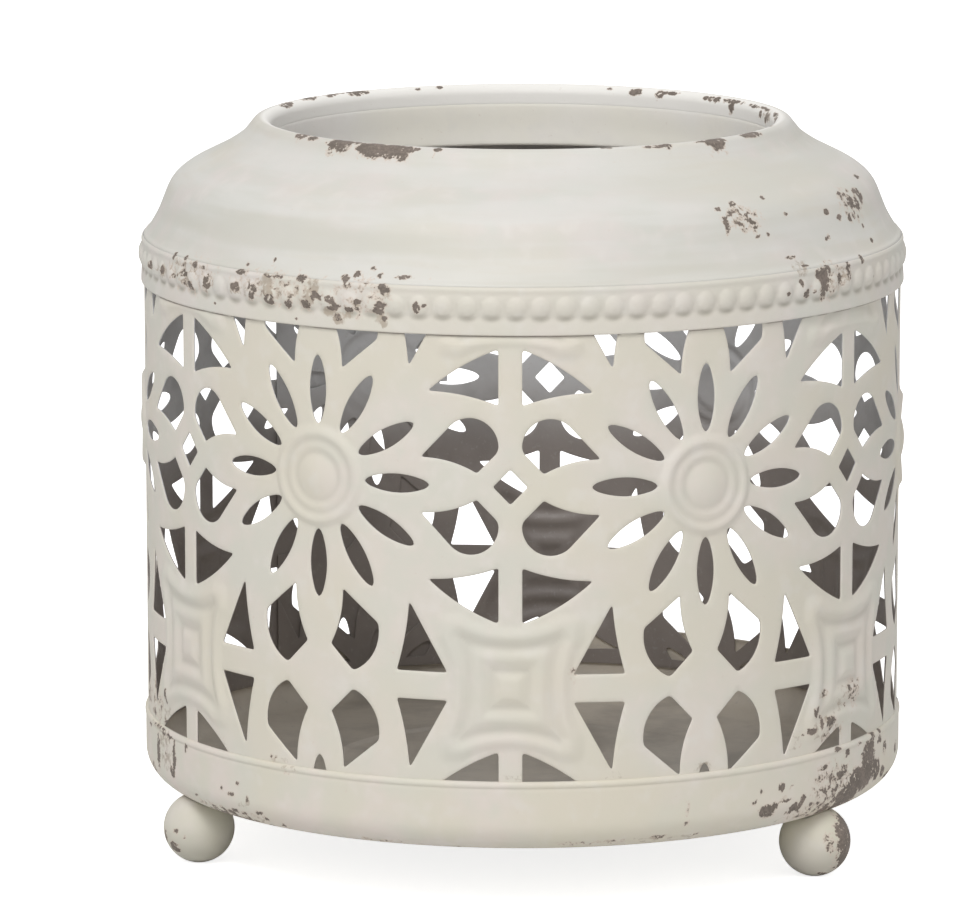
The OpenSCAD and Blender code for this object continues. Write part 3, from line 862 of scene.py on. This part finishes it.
# Cut edges: rolled over a little outside, straight through, and sharp inside.
one_way = np.concatenate([faces[:, [0, 1]], faces[:, [1, 2]], faces[:, [2, 0]]])
code = one_way.astype(np.int64) @ np.array([len(flats), 1])
back_code = one_way[:, ::-1].astype(np.int64) @ np.array([len(flats), 1])
rim = one_way[~np.isin(code, back_code)]
way = flats[rim[:, 1]] - flats[rim[:, 0]]
out_way = np.stack([way[:, 1], -way[:, 0]], -1)
push = np.zeros_like(flats)
np.add.at(push, rim[:, 0], out_way)
np.add.at(push, rim[:, 1], out_way)
rim_points = np.unique(rim)
push[rim_points] /= np.maximum(np.linalg.norm(push[rim_points], axis=1), 1e-9)[:, None]

rolled_over, rolled_out, rolled_down, burr = 0.18, 0.06, 0.24, 0.04
relief, shade_and_grime = pressed(flats)
roll = np.zeros(len(flats))
roll[rim_points] = rolled_over

# How the strip sits when rolled: degrees that it runs ahead, and millimetres that it rises.
run_ahead = [
    (-168, 2.0), (-100, 2.0), (-82, 1.5), (-62, 2.4), (-51, 1.8), (-41, 0.6), (-20, 0.5), (0, 0),
    (20, -0.5), (40, -0.6), (70, -1.3), (84, -1.8), (114, -1.8), (137, -0.6), (150, -0.8),
    (187, -3.1), (200, -4.0), (230, -4.0),
]
climb = [
    (-168, 1.2), (-60, 0.9), (-40, 0.4), (-20, 0), (0, -0.2), (15, -0.5), (30, -1.5), (45, -2.1),
    (60, -2.6), (80, -3.0), (114, -5.1), (190, -5.0), (214, -2.6), (230, -2.5),
]
lap_start, lap_full, lap_depth, lap_flat = 192.0, 199.0, 0.62, 0.8
ease_lags = (-5, -2.5, 0, 2.5, 5)
held_edge, top_held_more = 13.0, 2.2


def eased(place, knots):
    """A value that runs through knots of place and value, rounded over a few degrees."""
    at, value = np.array(knots).T
    return sum(np.interp(place + lag, at, value) for lag in ease_lags) / len(ease_lags)


def roll_up(points, height):
    """Rolls flat places and heights over the sheet's face up into the cylinder."""
    turn = points[:, 0] * half_turn / tile
    lap = gentle(np.clip((turn - lap_start) / (lap_full - lap_start), 0, 1))
    from_top = (wall_high - points[:, 1]) * top_held_more
    hold = np.clip(np.minimum(points[:, 1] - wall_low, from_top) / held_edge, 0, 1)
    up = points[:, 1] + eased(turn, climb) * gentle(hold)
    pressed_out = np.where(height > 0, height * (1 - lap_flat * lap), height)
    out = wall_r + pressed_out - lap_depth * lap
    return round_axis(turn + eased(turn, run_ahead), out * mm, up * mm)


layers = [roll_up(flats, relief - roll)]
quads, layer_ids = [], [np.arange(len(flats))]
total = len(flats)
for depth in (rolled_down, sheet_mm - burr):
    ids = np.full(len(flats), -1)
    ids[rim_points] = total + np.arange(len(rim_points))
    moved = flats[rim_points] + rolled_out * push[rim_points]
    layers.append(roll_up(moved, relief[rim_points] - depth))
    layer_ids.append(ids)
    total += len(rim_points)
layers.append(roll_up(flats, relief - sheet_mm))
layer_ids.append(total + np.arange(len(flats)))
for upper, lower in zip(layer_ids[:-1], layer_ids[1:]):
    quads.append(
        np.stack([upper[rim[:, 1]], upper[rim[:, 0]], lower[rim[:, 0]], lower[rim[:, 1]]], -1)
    )
quads = np.concatenate(quads)
under = layer_ids[-1][faces[:, ::-1]]

all_faces = faces.tolist() + quads.tolist() + under.tolist()
skin = [0] * (len(faces) + len(rim)) + [1] * (len(quads) - len(rim) + len(under))

wall_points = np.concatenate(layers)
wall = make_piece(
    "wall", "pierced_wall", wall_points, all_faces, [wall_paint, wall_primer], skin, weld=False
)
# Painted shade and grime in the valleys of the relief.
write_share(wall, "shade_and_grime", np.append(shade_and_grime, np.zeros(len(wall_points) - len(flats))))
wall_wear = [
    # beside the right square's foot
    (50.8, 98.7, 45.1, 1.1, 1.4, 0.90), (51.8, 98.7, 42.1, 1.0, 1.9, 0.86),
    (49.5, 98.7, 40.4, 1.6, 0.9, 0.92), (54.5, 98.7, 41.9, 1.9, 0.8, 0.88),
    (53.6, 98.7, 41.2, 0.9, 0.6, 0.84), (58.5, 98.7, 44.9, 1.1, 0.4, 0.80),
    (46.8, 98.7, 37.4, 1.5, 0.5, 0.58), (48, 98.7, 39.9, 0.7, 0.4, 0.70),
    (52.2, 98.7, 49.4, 2.2, 1.1, 0.50), (54.5, 98.7, 38, 5, 4, 0.36),
    (60, 98.7, 47, 4, 4, 0.36), (62, 98.7, 50, 0.8, 0.6, 0.74),
    # the left edge
    (-66.5, 98.7, 43.1, 1.0, 1.8, 0.86), (-72.8, 98.6, 42.5, 0.7, 2.4, 0.76),
    (-70.2, 98.7, 38.9, 1.2, 0.5, 0.80), (-67, 98.7, 35.6, 2.2, 0.7, 0.84),
    (-74.5, 98.7, 36, 2.5, 0.9, 0.66), (-80, 98.7, 40, 6, 3, 0.46),
    (-72, 98.7, 40, 6, 5, 0.34),
    # small specks
    (-38.2, 98.7, 35.6, 1.1, 0.6, 0.66), (-17, 98.7, 144.2, 0.5, 0.5, 0.84),
    (-25, 98.7, 141, 0.6, 0.5, 0.80), (9, 99.0, 62, 1.0, 2.2, 0.28),
    (14, 98.7, 47, 2.4, 1.6, 0.40), (-36, 98.7, 77, 0.8, 0.8, 0.44),
]
wall_flakes = [
    (140, 98.8, 60, 9, 6, 11), (-125, 98.8, 43, 9, 8, 12), (170, 98.8, 130, 6, 4, 13),
    (-160, 98.8, 90, 7, 5, 14), (105, 98.8, 41, 9, 8, 15),
]
wear_down(wall, wall_wear + flake_clusters(wall_flakes))
wall_rub = [
    (29.2, 98.6, 36.1, 3.0, 1.0, 0.58), (15, 98.6, 35.6, 3.4, 0.8, 0.56),
    (-37, 98.6, 35.4, 4, 0.8, 0.54), (46.2, 98.7, 38.6, 2.4, 2.2, 0.46),
    (53, 98.7, 40.5, 5, 3.4, 0.50), (57, 98.7, 47, 4, 3, 0.44), (-68, 98.7, 38, 6, 3, 0.48),
    (-74, 98.7, 43, 3, 5, 0.46), (0, 98.6, 35.4, 8, 0.5, 0.40),
]
wear_down(wall, wall_rub, "rub")


# Band: a strip with a row of pressed beads, a fine ridge over them and a plain flange below. It
# holds wall and top together, and is cream outside and primer inside.
band_paint = cream_paint(
    "band_paint", (0.625, 0.610, 0.552, 1), (0.668, 0.616, 0.574, 1), (0.640, 0.606, 0.525, 1)
)
band_low, band_high = (corner.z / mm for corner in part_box("bead_band"))
band_r, first_bead = 99.2, 0.85
bead_count, bead_rise, bead_r, bead_proud, bead_fullness = 102, 7.1, 2.6, 0.74, 0.9
hollow_rise, hollow_half, hollow_deep, hollow_bend, least_hollow = 3.85, 0.72, 0.38, 0.10, 0.15
# Painted shade and grime in the hollow under the beads and in the gaps between them.
hollow_shade_and_grime, gap_shade_and_grime, gap_half, gap_share = 1.75, 0.32, 2.2, 0.3
# The band's outer face, as height over its lower edge and distance from band_r
band_line = [
    (0, 0.02), (0.25, 0.16), (1.0, 0.16), (3.0, 0.05), (4.4, -0.05), (5.4, 0), (6.2, 0.05),
    (7.9, 0.10), (9.2, 0.05), (9.9, -0.05), (10.4, -0.06), (10.9, 0.04), (11.3, 0.02),
    (11.6, -0.12), (12, -0.42),
]
band_steps, bead_steps = 49, 11
rise = np.linspace(0, band_high - band_low, band_steps)
around = bead_steps * bead_count
turns = np.arange(around) * 360 / around
bead_turn = (turns - first_bead + 180 / bead_count) % (360 / bead_count) - 180 / bead_count
over_bead = np.radians(bead_turn) * band_r
bead_at = np.hypot(over_bead[:, None], (rise - bead_rise)[None]) / bead_r
bead = bead_proud * np.clip(1 - bead_at**2, 0, 1) ** bead_fullness
across_bead = np.clip(1 - (over_bead[:, None] / bead_r) ** 2, 0, 1)
under_bead = least_hollow + (1 - least_hollow) * across_bead
sag = rise[None] - hollow_rise - hollow_bend * over_bead[:, None] ** 2
hollow = under_bead * np.exp(-((sag / hollow_half) ** 2))
line_at, line_out = np.array(band_line).T
outer = band_r + np.interp(rise, line_at, line_out)[None] + bead - hollow_deep * hollow
inner_rise = rise[::-8]
inner_r = np.full((around, len(inner_rise)), band_r - sheet_mm)
radius = np.concatenate([outer, inner_r], 1)
height = np.tile(np.concatenate([rise, inner_rise]), (around, 1)) + band_low
points = round_axis(turns[:, None], radius * mm, height * mm).reshape(-1, 3)
skin = np.tile((np.arange(radius.shape[1]) >= band_steps - 1).astype(int), around)
band_faces = spin_faces(radius.shape[1], around).tolist()
band = make_piece("band", "bead_band", points, band_faces, [band_paint, wall_primer], skin)
# Painted shade and grime: strong in the hollow under each bead, weaker in the gaps between the
# beads.
bead_row = np.exp(-(((rise - bead_rise) / gap_half) ** 2))[None]
between = bead_row * np.clip(1 - bead / (gap_share * bead_proud), 0, 1)
bead_shade_and_grime = hollow_shade_and_grime * hollow + gap_shade_and_grime * between
write_share(band, "shade_and_grime", np.append(bead_shade_and_grime, np.zeros_like(inner_r), 1).reshape(-1))
# Marks that run on over the band's edge on to the top: the bare spots, then the thin smears
shoulder_wear = [
    # left of the front
    (-71.2, 100, 154.5, 2.4, 1.1, 0.86), (-65.5, 100, 154.8, 1.0, 1.1, 0.86),
    (-61.2, 100, 154.2, 0.9, 0.7, 0.84), (-58, 100, 155.8, 1.5, 1.0, 0.92),
    (-61.8, 98.6, 159.2, 0.7, 1.1, 0.82), (-58, 98.3, 159.3, 0.8, 0.7, 0.84),
    (-55, 99.4, 158.6, 1.2, 0.8, 0.86), (-55.8, 99.5, 153, 1.2, 1.1, 0.86),
    (-51.2, 100, 155, 1.2, 1.9, 0.74), (-52.5, 99.2, 158.3, 0.6, 0.5, 0.80),
    (-44.5, 100, 155, 1.6, 1.4, 0.70), (-43.8, 99.3, 158.9, 1.4, 0.7, 0.84),
    (-43.2, 97.4, 160.7, 0.7, 0.5, 0.84), (-41, 100, 154.8, 1.1, 1.9, 0.86),
    (-38.4, 99.5, 159, 1.6, 0.6, 0.78), (-37.8, 99.5, 153, 1.4, 1.4, 0.92),
    (-35.8, 99.3, 158.9, 1.0, 0.4, 0.80), (-38.2, 96.1, 162.7, 0.5, 0.7, 0.80),
    (-34.2, 99.2, 152.5, 1.1, 1.2, 0.86), (-32, 98.8, 159.1, 1.3, 1.0, 0.86),
    (-29.6, 99.9, 155.2, 1.0, 1.2, 0.72), (-31, 99.3, 152.8, 1.3, 1.3, 0.92),
    (-28.8, 100, 154.8, 0.8, 0.8, 0.74), (-27, 100, 154.5, 1.2, 1.1, 0.84),
    (-26.5, 99.3, 152.8, 1.8, 1.0, 0.88), (-25.5, 99.2, 150.3, 1.5, 1.0, 0.62),
    (-23.8, 99.2, 152.5, 1.0, 0.8, 0.92), (-22.5, 100, 154.5, 0.8, 0.7, 0.84),
    (-24.8, 98, 159.8, 1.0, 1.2, 0.86), (-23.2, 97.2, 160.9, 0.8, 0.9, 0.84),
    (-20.8, 96.2, 162.4, 0.9, 0.8, 0.62), (-19.5, 97.2, 160.9, 0.6, 0.8, 0.84),
    (-18.5, 99.3, 158, 1.4, 1.4, 0.84), (-19.2, 99.6, 153.2, 1.4, 1.6, 0.92),
    (-18.4, 99.2, 150.6, 0.8, 0.7, 0.70), (-16, 97.2, 160.9, 2.0, 0.6, 0.82),
    (-13.5, 99.9, 153.8, 0.9, 1.6, 0.86), (-12.3, 100, 154.4, 0.5, 0.5, 0.84),
    (-49.5, 99.2, 149.7, 0.5, 0.4, 0.80), (-32.8, 99.2, 148.9, 0.5, 0.4, 0.80),
    (-36, 99.6, 156, 16, 4.5, 0.28), (-56, 99.6, 155.5, 12, 4.5, 0.28),
    (-22, 99.4, 156, 8, 5, 0.28),
    # right of the front
    (51.5, 100, 155.5, 2.0, 3.6, 0.90), (52.5, 99.4, 158.4, 1.2, 1.2, 0.84),
    (50.2, 99.4, 157.8, 1.2, 1.2, 0.80), (55, 100, 155.5, 0.9, 1.7, 0.84),
    (57.8, 99.6, 157, 1.1, 2.0, 0.82), (62.2, 98.8, 159.1, 0.8, 1.3, 0.80),
    (49.2, 99.6, 153.6, 0.7, 0.6, 0.84), (46.4, 99.8, 156.2, 0.7, 1.0, 0.82),
    (47.5, 99.5, 153.2, 1.3, 1.2, 0.94),
    (43.5, 100, 154, 0.7, 0.5, 0.84), (65.8, 99.9, 153.8, 0.7, 0.4, 0.84),
    (48.2, 97.8, 160, 1.5, 0.4, 0.80), (46, 96.2, 162.4, 1.7, 0.5, 0.84),
    (53, 99.6, 156, 6, 4.5, 0.38),
]
shoulder_flakes = [
    (96, 99.8, 155, 12, 14, 21), (126, 99.8, 156, 7, 9, 22), (163, 99.8, 155, 11, 10, 23),
    (-160, 99.8, 155, 7, 8, 24), (-128, 99.8, 155.5, 14, 16, 25), (-96, 99.8, 155, 8, 9, 26),
]
shoulder_wear += flake_clusters(shoulder_flakes)
shoulder_rub = [
    (-38.5, 99.7, 157.6, 1.7, 2.0, 1.05), (-37.9, 99.7, 155.2, 1.4, 2.4, 1.0),
    (-29.8, 99.8, 157.6, 1.6, 1.8, 1.05), (-30.4, 99.8, 155.0, 1.5, 2.2, 1.0),
    (-27.2, 99.2, 151.8, 1.8, 1.3, 0.85), (-25.4, 99.2, 150.2, 1.8, 1.6, 0.90),
    (-24, 99.2, 151.3, 1.5, 1.1, 0.80), (-19.2, 99.2, 150.6, 1.3, 1.6, 0.95),
    (-18.4, 99.2, 149.4, 1.0, 1.0, 0.95),
    (-18.2, 99.5, 157.5, 1.3, 1.8, 0.70), (-24.8, 98, 159.8, 1.6, 1.2, 0.62),
    (-43.5, 100, 154.2, 4.2, 1.6, 0.60), (-66, 100, 154.4, 4.2, 1.6, 0.62),
    (-55.8, 99.9, 154, 2.2, 1.6, 0.60), (-31, 99.5, 153.2, 1.8, 1.3, 0.75),
    (-22.5, 100, 154.2, 1.4, 1.1, 0.64), (-15.8, 97.2, 160.9, 2.4, 0.5, 0.62),
    (-34, 99.6, 156, 12, 3.5, 0.36), (-58, 99.6, 156, 12, 3.2, 0.36),
    (51.5, 100, 155.8, 3.4, 3.4, 0.56), (57, 99.6, 156.6, 2.6, 2.6, 0.52),
    (47, 97.8, 159.8, 3.0, 2.0, 0.46),
    (126, 99.8, 156, 6, 3, 0.50), (-128, 99.8, 155.5, 7, 3, 0.50), (163, 99.8, 155, 6, 3, 0.48),
]
wear_down(band, shoulder_wear)
wear_down(band, shoulder_rub, "rub")


# Top: an ogee spun from sheet, from a skirt inside the band up to a rolled lip that turns down
# inside the neck. Its cream paint is brushed on in level streaks, and inside it is primer.
top_paint = cream_paint(
    "top_paint",
    (0.602, 0.593, 0.545, 1),
    (0.645, 0.602, 0.566, 1),
    (0.622, 0.592, 0.520, 1),
    streaks=0.6,
)
top_primer = primer_coat(
    "top_primer", (0.26, 0.235, 0.22, 1), (0.40, 0.38, 0.36, 1), 150 * mm, 185 * mm
)
crest_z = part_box("top_dome")[1].z
crest_r, skirt_r, top_around = 68 * mm, 98.6 * mm, 800
lip_r, lip_turn, joint_gap = 2.6 * mm, 2.5 * mm, 0.01 * mm
lip_inner_r, lip_end = crest_r - lip_r + joint_gap, crest_z - lip_r - lip_turn
# Where the lip's paint starts to turn white towards the neck, as painted light, and over how far.
painted_light_from, painted_light_fade = 0.5 * mm, 1.2 * mm
ogee_foot = band_high * mm
ogee_shares = [
    (1, -0.10), (1, 0), (0.967, 0.040), (0.924, 0.106), (0.878, 0.191), (0.842, 0.277),
    (0.806, 0.370), (0.766, 0.452), (0.704, 0.525), (0.605, 0.597), (0.470, 0.667),
    (0.339, 0.733), (0.224, 0.805), (0.135, 0.875), (0.086, 0.930),
]
ogee = np.array(
    [
        (crest_r + (skirt_r - crest_r) * x, ogee_foot + (crest_z - ogee_foot) * y)
        for x, y in ogee_shares
    ]
)


def smooth_line(points, steps):
    """A curve through all the points but the first and the last."""
    line = []
    for a, b, c, d in zip(points, points[1:], points[2:], points[3:]):
        for t in np.arange(steps) / steps:
            bend = (c - a) * t + (2 * a - 5 * b + 4 * c - d) * t**2
            line.append(b + (bend + (3 * b - a - 3 * c + d) * t**3) / 2)
    return line


lip_centre = (crest_r, crest_z - lip_r)
top_outside = np.concatenate(
    [
        [[skirt_r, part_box("top_dome")[0].z]],
        smooth_line(ogee, 5),
        bow(lip_centre, lip_r, 30, 180, 16),
        [[crest_r - lip_r, crest_z - lip_r - lip_turn * share] for share in (0.4, 0.8, 0.99)],
        [[lip_inner_r, lip_end]],
    ]
)
ahead = np.roll(top_outside, -1, axis=0) - np.roll(top_outside, 1, axis=0)
ahead[0], ahead[-1] = top_outside[1] - top_outside[0], top_outside[-1] - top_outside[-2]
left_way = np.stack([-ahead[:, 1], ahead[:, 0]], -1) / np.linalg.norm(ahead, axis=1)[:, None]
sparse = np.unique(np.append(np.arange(0, len(top_outside), 3), len(top_outside) - 1))[::-1]
top_inside = (top_outside + sheet * left_way)[sparse]
top = spin("top", "top_dome", top_outside, top_inside, top_around, [top_paint, top_primer])
# Painted light: the lip's paint turns white towards the neck, for light falling into it.
top_reach = np.hypot(*rows_of(top.data.vertices, "co").T[:2])
write_share(top, "painted_light", np.clip((crest_r + painted_light_from - top_reach) / painted_light_fade, 0, 1))
top_rub = [(38, 90.8, 173.2, 4.5, 2.6, 0.44), (69, 91, 172.8, 4, 3, 0.46)]
wear_down(top, shoulder_rub + top_rub, "rub")
top_wear = [
    # patches on the right of the ogee
    (34.8, 89.2, 175.4, 0.9, 0.7, 0.84), (38.2, 88.4, 176.1, 1.2, 0.8, 0.80),
    (36.8, 90.5, 174.2, 1.2, 0.9, 0.86), (35.2, 92.2, 171.2, 0.6, 2.0, 0.84),
    (35.3, 91.4, 172.8, 0.6, 1.4, 0.80), (39.2, 90.8, 173.7, 0.9, 0.5, 0.84),
    (40.2, 91.8, 172, 1.6, 0.7, 0.66), (40.8, 92.6, 170.5, 0.6, 0.5, 0.84),
    (40.8, 93.5, 168.2, 0.5, 0.4, 0.84), (43, 93.4, 168.5, 0.7, 0.5, 0.84),
    (45.2, 87.6, 176.9, 0.9, 0.5, 0.84), (47.8, 91.6, 172.5, 0.8, 0.5, 0.84),
    (65.2, 90.1, 174.6, 1.5, 0.4, 0.80), (64.8, 90.8, 173.7, 0.6, 0.4, 0.80),
    (78.8, 88.2, 176.3, 2.2, 0.6, 0.84), (71.5, 90.5, 174.2, 2.0, 0.8, 0.86),
    (72, 91.4, 172.8, 1.8, 2.0, 0.88), (67.2, 91.8, 172, 2.0, 1.4, 0.90),
    (69.4, 92.2, 171.2, 1.4, 1.6, 0.80), (58.2, 92.1, 171.5, 1.2, 0.7, 0.84),
    (61.5, 93.1, 169.5, 1.2, 0.7, 0.84), (64.8, 93.4, 168.5, 0.9, 0.6, 0.84),
    (68, 93.4, 168.5, 0.8, 0.5, 0.80), (56.2, 94.7, 165.4, 1.2, 0.7, 0.80),
    (69.2, 96.4, 162.2, 0.9, 0.7, 0.80), (68.5, 94.5, 165.9, 0.7, 0.4, 0.80),
    (38.5, 91, 172.5, 6, 3.5, 0.36), (67, 92, 171.5, 6, 4.5, 0.38),
    # the lip in front
    (-52.8, 68.6, 189.2, 2.3, 1.2, 0.84), (-48.4, 68.8, 189, 2.0, 1.0, 0.74),
    (-39.8, 69.2, 188.8, 3.7, 1.4, 1.0), (-36, 68.6, 189.2, 3.4, 0.6, 0.78),
    (-30.5, 69.6, 188.5, 4.2, 1.7, 1.15), (-25.6, 70.1, 188.1, 4.0, 2.0, 1.15),
    (-22.6, 69.3, 188.7, 1.8, 1.0, 0.84), (-20.4, 69.2, 188.8, 0.7, 0.5, 0.74),
    (-16, 69.0, 188.9, 1.1, 0.6, 0.80), (-16.6, 70.4, 187.7, 0.5, 0.7, 0.72),
    (-17.5, 71.3, 186.7, 0.5, 0.6, 0.72), (31, 68.8, 189.1, 3.6, 0.7, 0.78),
    (33.4, 69.0, 188.9, 1.2, 1.0, 0.86), (20, 68.4, 189.3, 2.4, 0.4, 0.66),
    (46.5, 69.1, 188.9, 3.2, 1.4, 1.05), (43, 68.6, 189.2, 2.4, 0.5, 0.76),
    (59.5, 68.6, 189.2, 4.2, 1.1, 1.0), (73, 66.9, 189.1, 2.0, 0.9, 0.60),
    # the lip at the back
    (-109.8, 66.9, 189.1, 3.8, 0.9, 0.84), (-121.3, 67.5, 189.3, 3.2, 0.9, 0.80),
    (-128.8, 67.2, 189.2, 1.9, 0.7, 0.70), (-137.2, 66.9, 189.1, 3.2, 0.9, 0.86),
    (-132, 67.6, 189.4, 8, 0.5, 0.56), (-153.2, 66.4, 188.9, 0.8, 0.4, 0.80),
    (-158.8, 66.9, 189.1, 0.8, 0.6, 0.80), (161, 66.3, 188.7, 0.8, 0.4, 0.84),
    (154.2, 66.2, 188.4, 1.8, 0.9, 0.88), (147.8, 66.0, 188.2, 1.2, 1.0, 0.88),
    (144, 66.4, 188.9, 2.4, 0.4, 0.76), (134, 66.2, 188.4, 0.8, 0.5, 0.84),
    (132.2, 66.2, 188.4, 1.0, 0.7, 0.84), (130, 66.2, 188.4, 1.5, 0.8, 0.84),
    (126.8, 66.2, 188.4, 1.0, 0.4, 0.84), (123.8, 66.3, 188.6, 4.6, 0.6, 0.90),
    (124, 65.5, 187.2, 1.2, 1.1, 0.94), (145, 66.3, 188.7, 3.0, 0.4, 0.84),
    (114, 66.3, 188.7, 4.2, 0.5, 0.78), (107.5, 66.4, 188.9, 4.4, 0.5, 0.80),
    (109, 65.7, 187.5, 1.2, 0.9, 0.74), (97, 66.4, 188.9, 3.2, 0.6, 0.82),
    (92.5, 66.1, 188.2, 3.4, 0.6, 0.82), (103.5, 65.6, 187.2, 4.0, 1.2, 0.48),
    (176, 70.6, 187.4, 4, 1.0, 0.86), (-172, 69.4, 188.6, 2.4, 0.8, 0.84),
]
top_flakes = [
    (150, 90.5, 174, 5, 8, 31), (-120, 92, 171.5, 5, 9, 32), (-170, 94.5, 166, 4, 4, 33),
    (110, 93, 169.5, 4, 5, 34),
]
wear_down(top, shoulder_wear + top_wear + flake_clusters(top_flakes))


# Collar: a plain hoop that lines the neck behind the lip, cream on both faces, with its lower
# edge rolled outwards so that no hand is cut on it.
# Painted light: the collar's cream is lifted nearly to white, for light falling into the neck.
collar_paint_with_painted_light = cream_paint(
    "collar_paint_with_painted_light", painted_light_white, (0.870, 0.830, 0.785, 1), (0.845, 0.810, 0.680, 1)
)
collar_low, collar_high = (corner.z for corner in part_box("neck_collar"))
collar_r, roll_r, joggle_h = 66.0 * mm, 0.8 * mm, 8 * mm
hoop_step, corner_gap, roll_gap = 1.2 * mm, 0.03 * mm, 0.6 * mm
collar_painted_light, collar_around = 0.4, 320
collar_outside = np.concatenate(
    [
        [[collar_r + sheet, collar_high]],
        even_line(
            (collar_r + sheet, collar_high - 2 * sheet),
            (collar_r + sheet, collar_low + roll_r),
            hoop_step,
        )[:-1],
        bow((collar_r + roll_r, collar_low + roll_r), roll_r, 90, -180, 18),
    ]
)
joggle_share = np.linspace(0, 1, 10)
joggle_r = collar_r + (lip_inner_r - collar_r) * gentle(joggle_share)
joggle = np.stack([joggle_r, lip_end + (joggle_share - 1) * joggle_h], -1)
collar_inside = np.concatenate(
    [
        even_line((collar_r, collar_low + roll_r + roll_gap), joggle[0], hoop_step),
        joggle - [0, corner_gap],
        [[lip_inner_r + joint_gap, lip_end - joint_gap / 2]],
        [[collar_r, lip_end - joint_gap / 2], [collar_r, collar_high]],
    ]
)
both_faces = [collar_paint_with_painted_light, collar_paint_with_painted_light]
collar = spin("collar", "neck_collar", collar_outside, collar_inside, collar_around, both_faces)
# Painted light over the whole collar.
write_share(collar, "painted_light", np.full(len(collar.data.vertices), collar_painted_light))


# Studio: a pale floor, even light from all round, and three soft lamps: one high over the front,
# a wide one low before it and one behind. To the camera, floor and background are nearly white.
scene = bpy.context.scene
scene.view_settings.view_transform = "Standard"
world = bpy.data.worlds.new("studio")
scene.world = world
world.use_nodes = True
sky = Tone(world.node_tree)
backdrop = world.node_tree.nodes["Background"]
backdrop.inputs["Color"].default_value = (1, 1, 1, 1)
sky_level = 0.62
strength = sky.node("LightPath", {}, "Is Camera Ray") * (1.0 - sky_level) + sky_level
world.node_tree.links.new(strength.socket, backdrop.inputs["Strength"])
lamp_target = Vector((0, 0, 100 * mm))


def soft_lamp(name, place, size, power):
    """A rectangular lamp that faces the middle of the lantern."""
    lamp = bpy.data.lights.new(name, "AREA")
    lamp.shape, lamp.energy = "RECTANGLE", power
    lamp.size, lamp.size_y = size
    holder = bpy.data.objects.new(name, lamp)
    holder.location = place
    holder.rotation_mode = "QUATERNION"
    holder.rotation_quaternion = (lamp_target - Vector(place)).to_track_quat("-Z", "Y")
    bpy.context.collection.objects.link(holder)


soft_lamp("key_lamp", (-0.22, -1.02, 1.33), (0.6, 0.6), 12.4)
soft_lamp("front_lamp", (0.30, -2.0, 0.55), (1.8, 1.2), 1.5)
soft_lamp("back_lamp", (0.25, 1.20, 1.30), (0.9, 0.9), 3.0)

floor_half, floor_glow, floor_grey = 6.0, 0.78, 0.80
corners = [(-1, -1, 0), (1, -1, 0), (1, 1, 0), (-1, 1, 0)]
floor_mesh = bpy.data.meshes.new("floor")
floor_mesh.from_pydata(np.multiply(corners, floor_half).tolist(), [], [(0, 1, 2, 3)])
floor = bpy.data.objects.new("floor", floor_mesh)
bpy.context.collection.objects.link(floor)
floor_paint = bpy.data.materials.new("floor_paint")
floor_paint.use_nodes = True
floor_mesh.materials.append(floor_paint)
ground = Tone(floor_paint.node_tree)
ground_shader = floor_paint.node_tree.nodes["Principled BSDF"]
ground_shader.inputs["Base Color"].default_value = (floor_grey, floor_grey, floor_grey, 1)
ground_shader.inputs["Roughness"].default_value = 0.9
ground_shader.inputs["Specular IOR Level"].default_value = 0.1
ground_seen = ground.node("LightPath", {}, "Is Camera Ray") * floor_glow
glow_colour = ground_seen.blend((0, 0, 0, 1), (1, 1, 1, 1))
ground_shader.inputs["Emission Strength"].default_value = 1.0
floor_paint.node_tree.links.new(glow_colour.socket, ground_shader.inputs["Emission Color"])

# Camera: far off and a little above, turned slightly past the front.
camera = bpy.data.cameras.new("camera")
camera.sensor_width, camera.lens = 36, 251.9
camera.shift_x, camera.shift_y = -0.0386, 0.0251
camera.clip_start, camera.clip_end = 0.1, 20
eye = bpy.data.objects.new("camera", camera)
view_turn, view_rise, view_far, aim = math.radians(1.75), math.radians(10.25), 1.781, 0.0937
back_way = Vector(
    (
        math.sin(view_turn) * math.cos(view_rise),
        -math.cos(view_turn) * math.cos(view_rise),
        math.sin(view_rise),
    )
)
eye.location = Vector((0, 0, aim)) + back_way * view_far
eye.rotation_mode = "QUATERNION"
eye.rotation_quaternion = (-back_way).to_track_quat("-Z", "Y")
bpy.context.collection.objects.link(eye)
scene.camera = eye
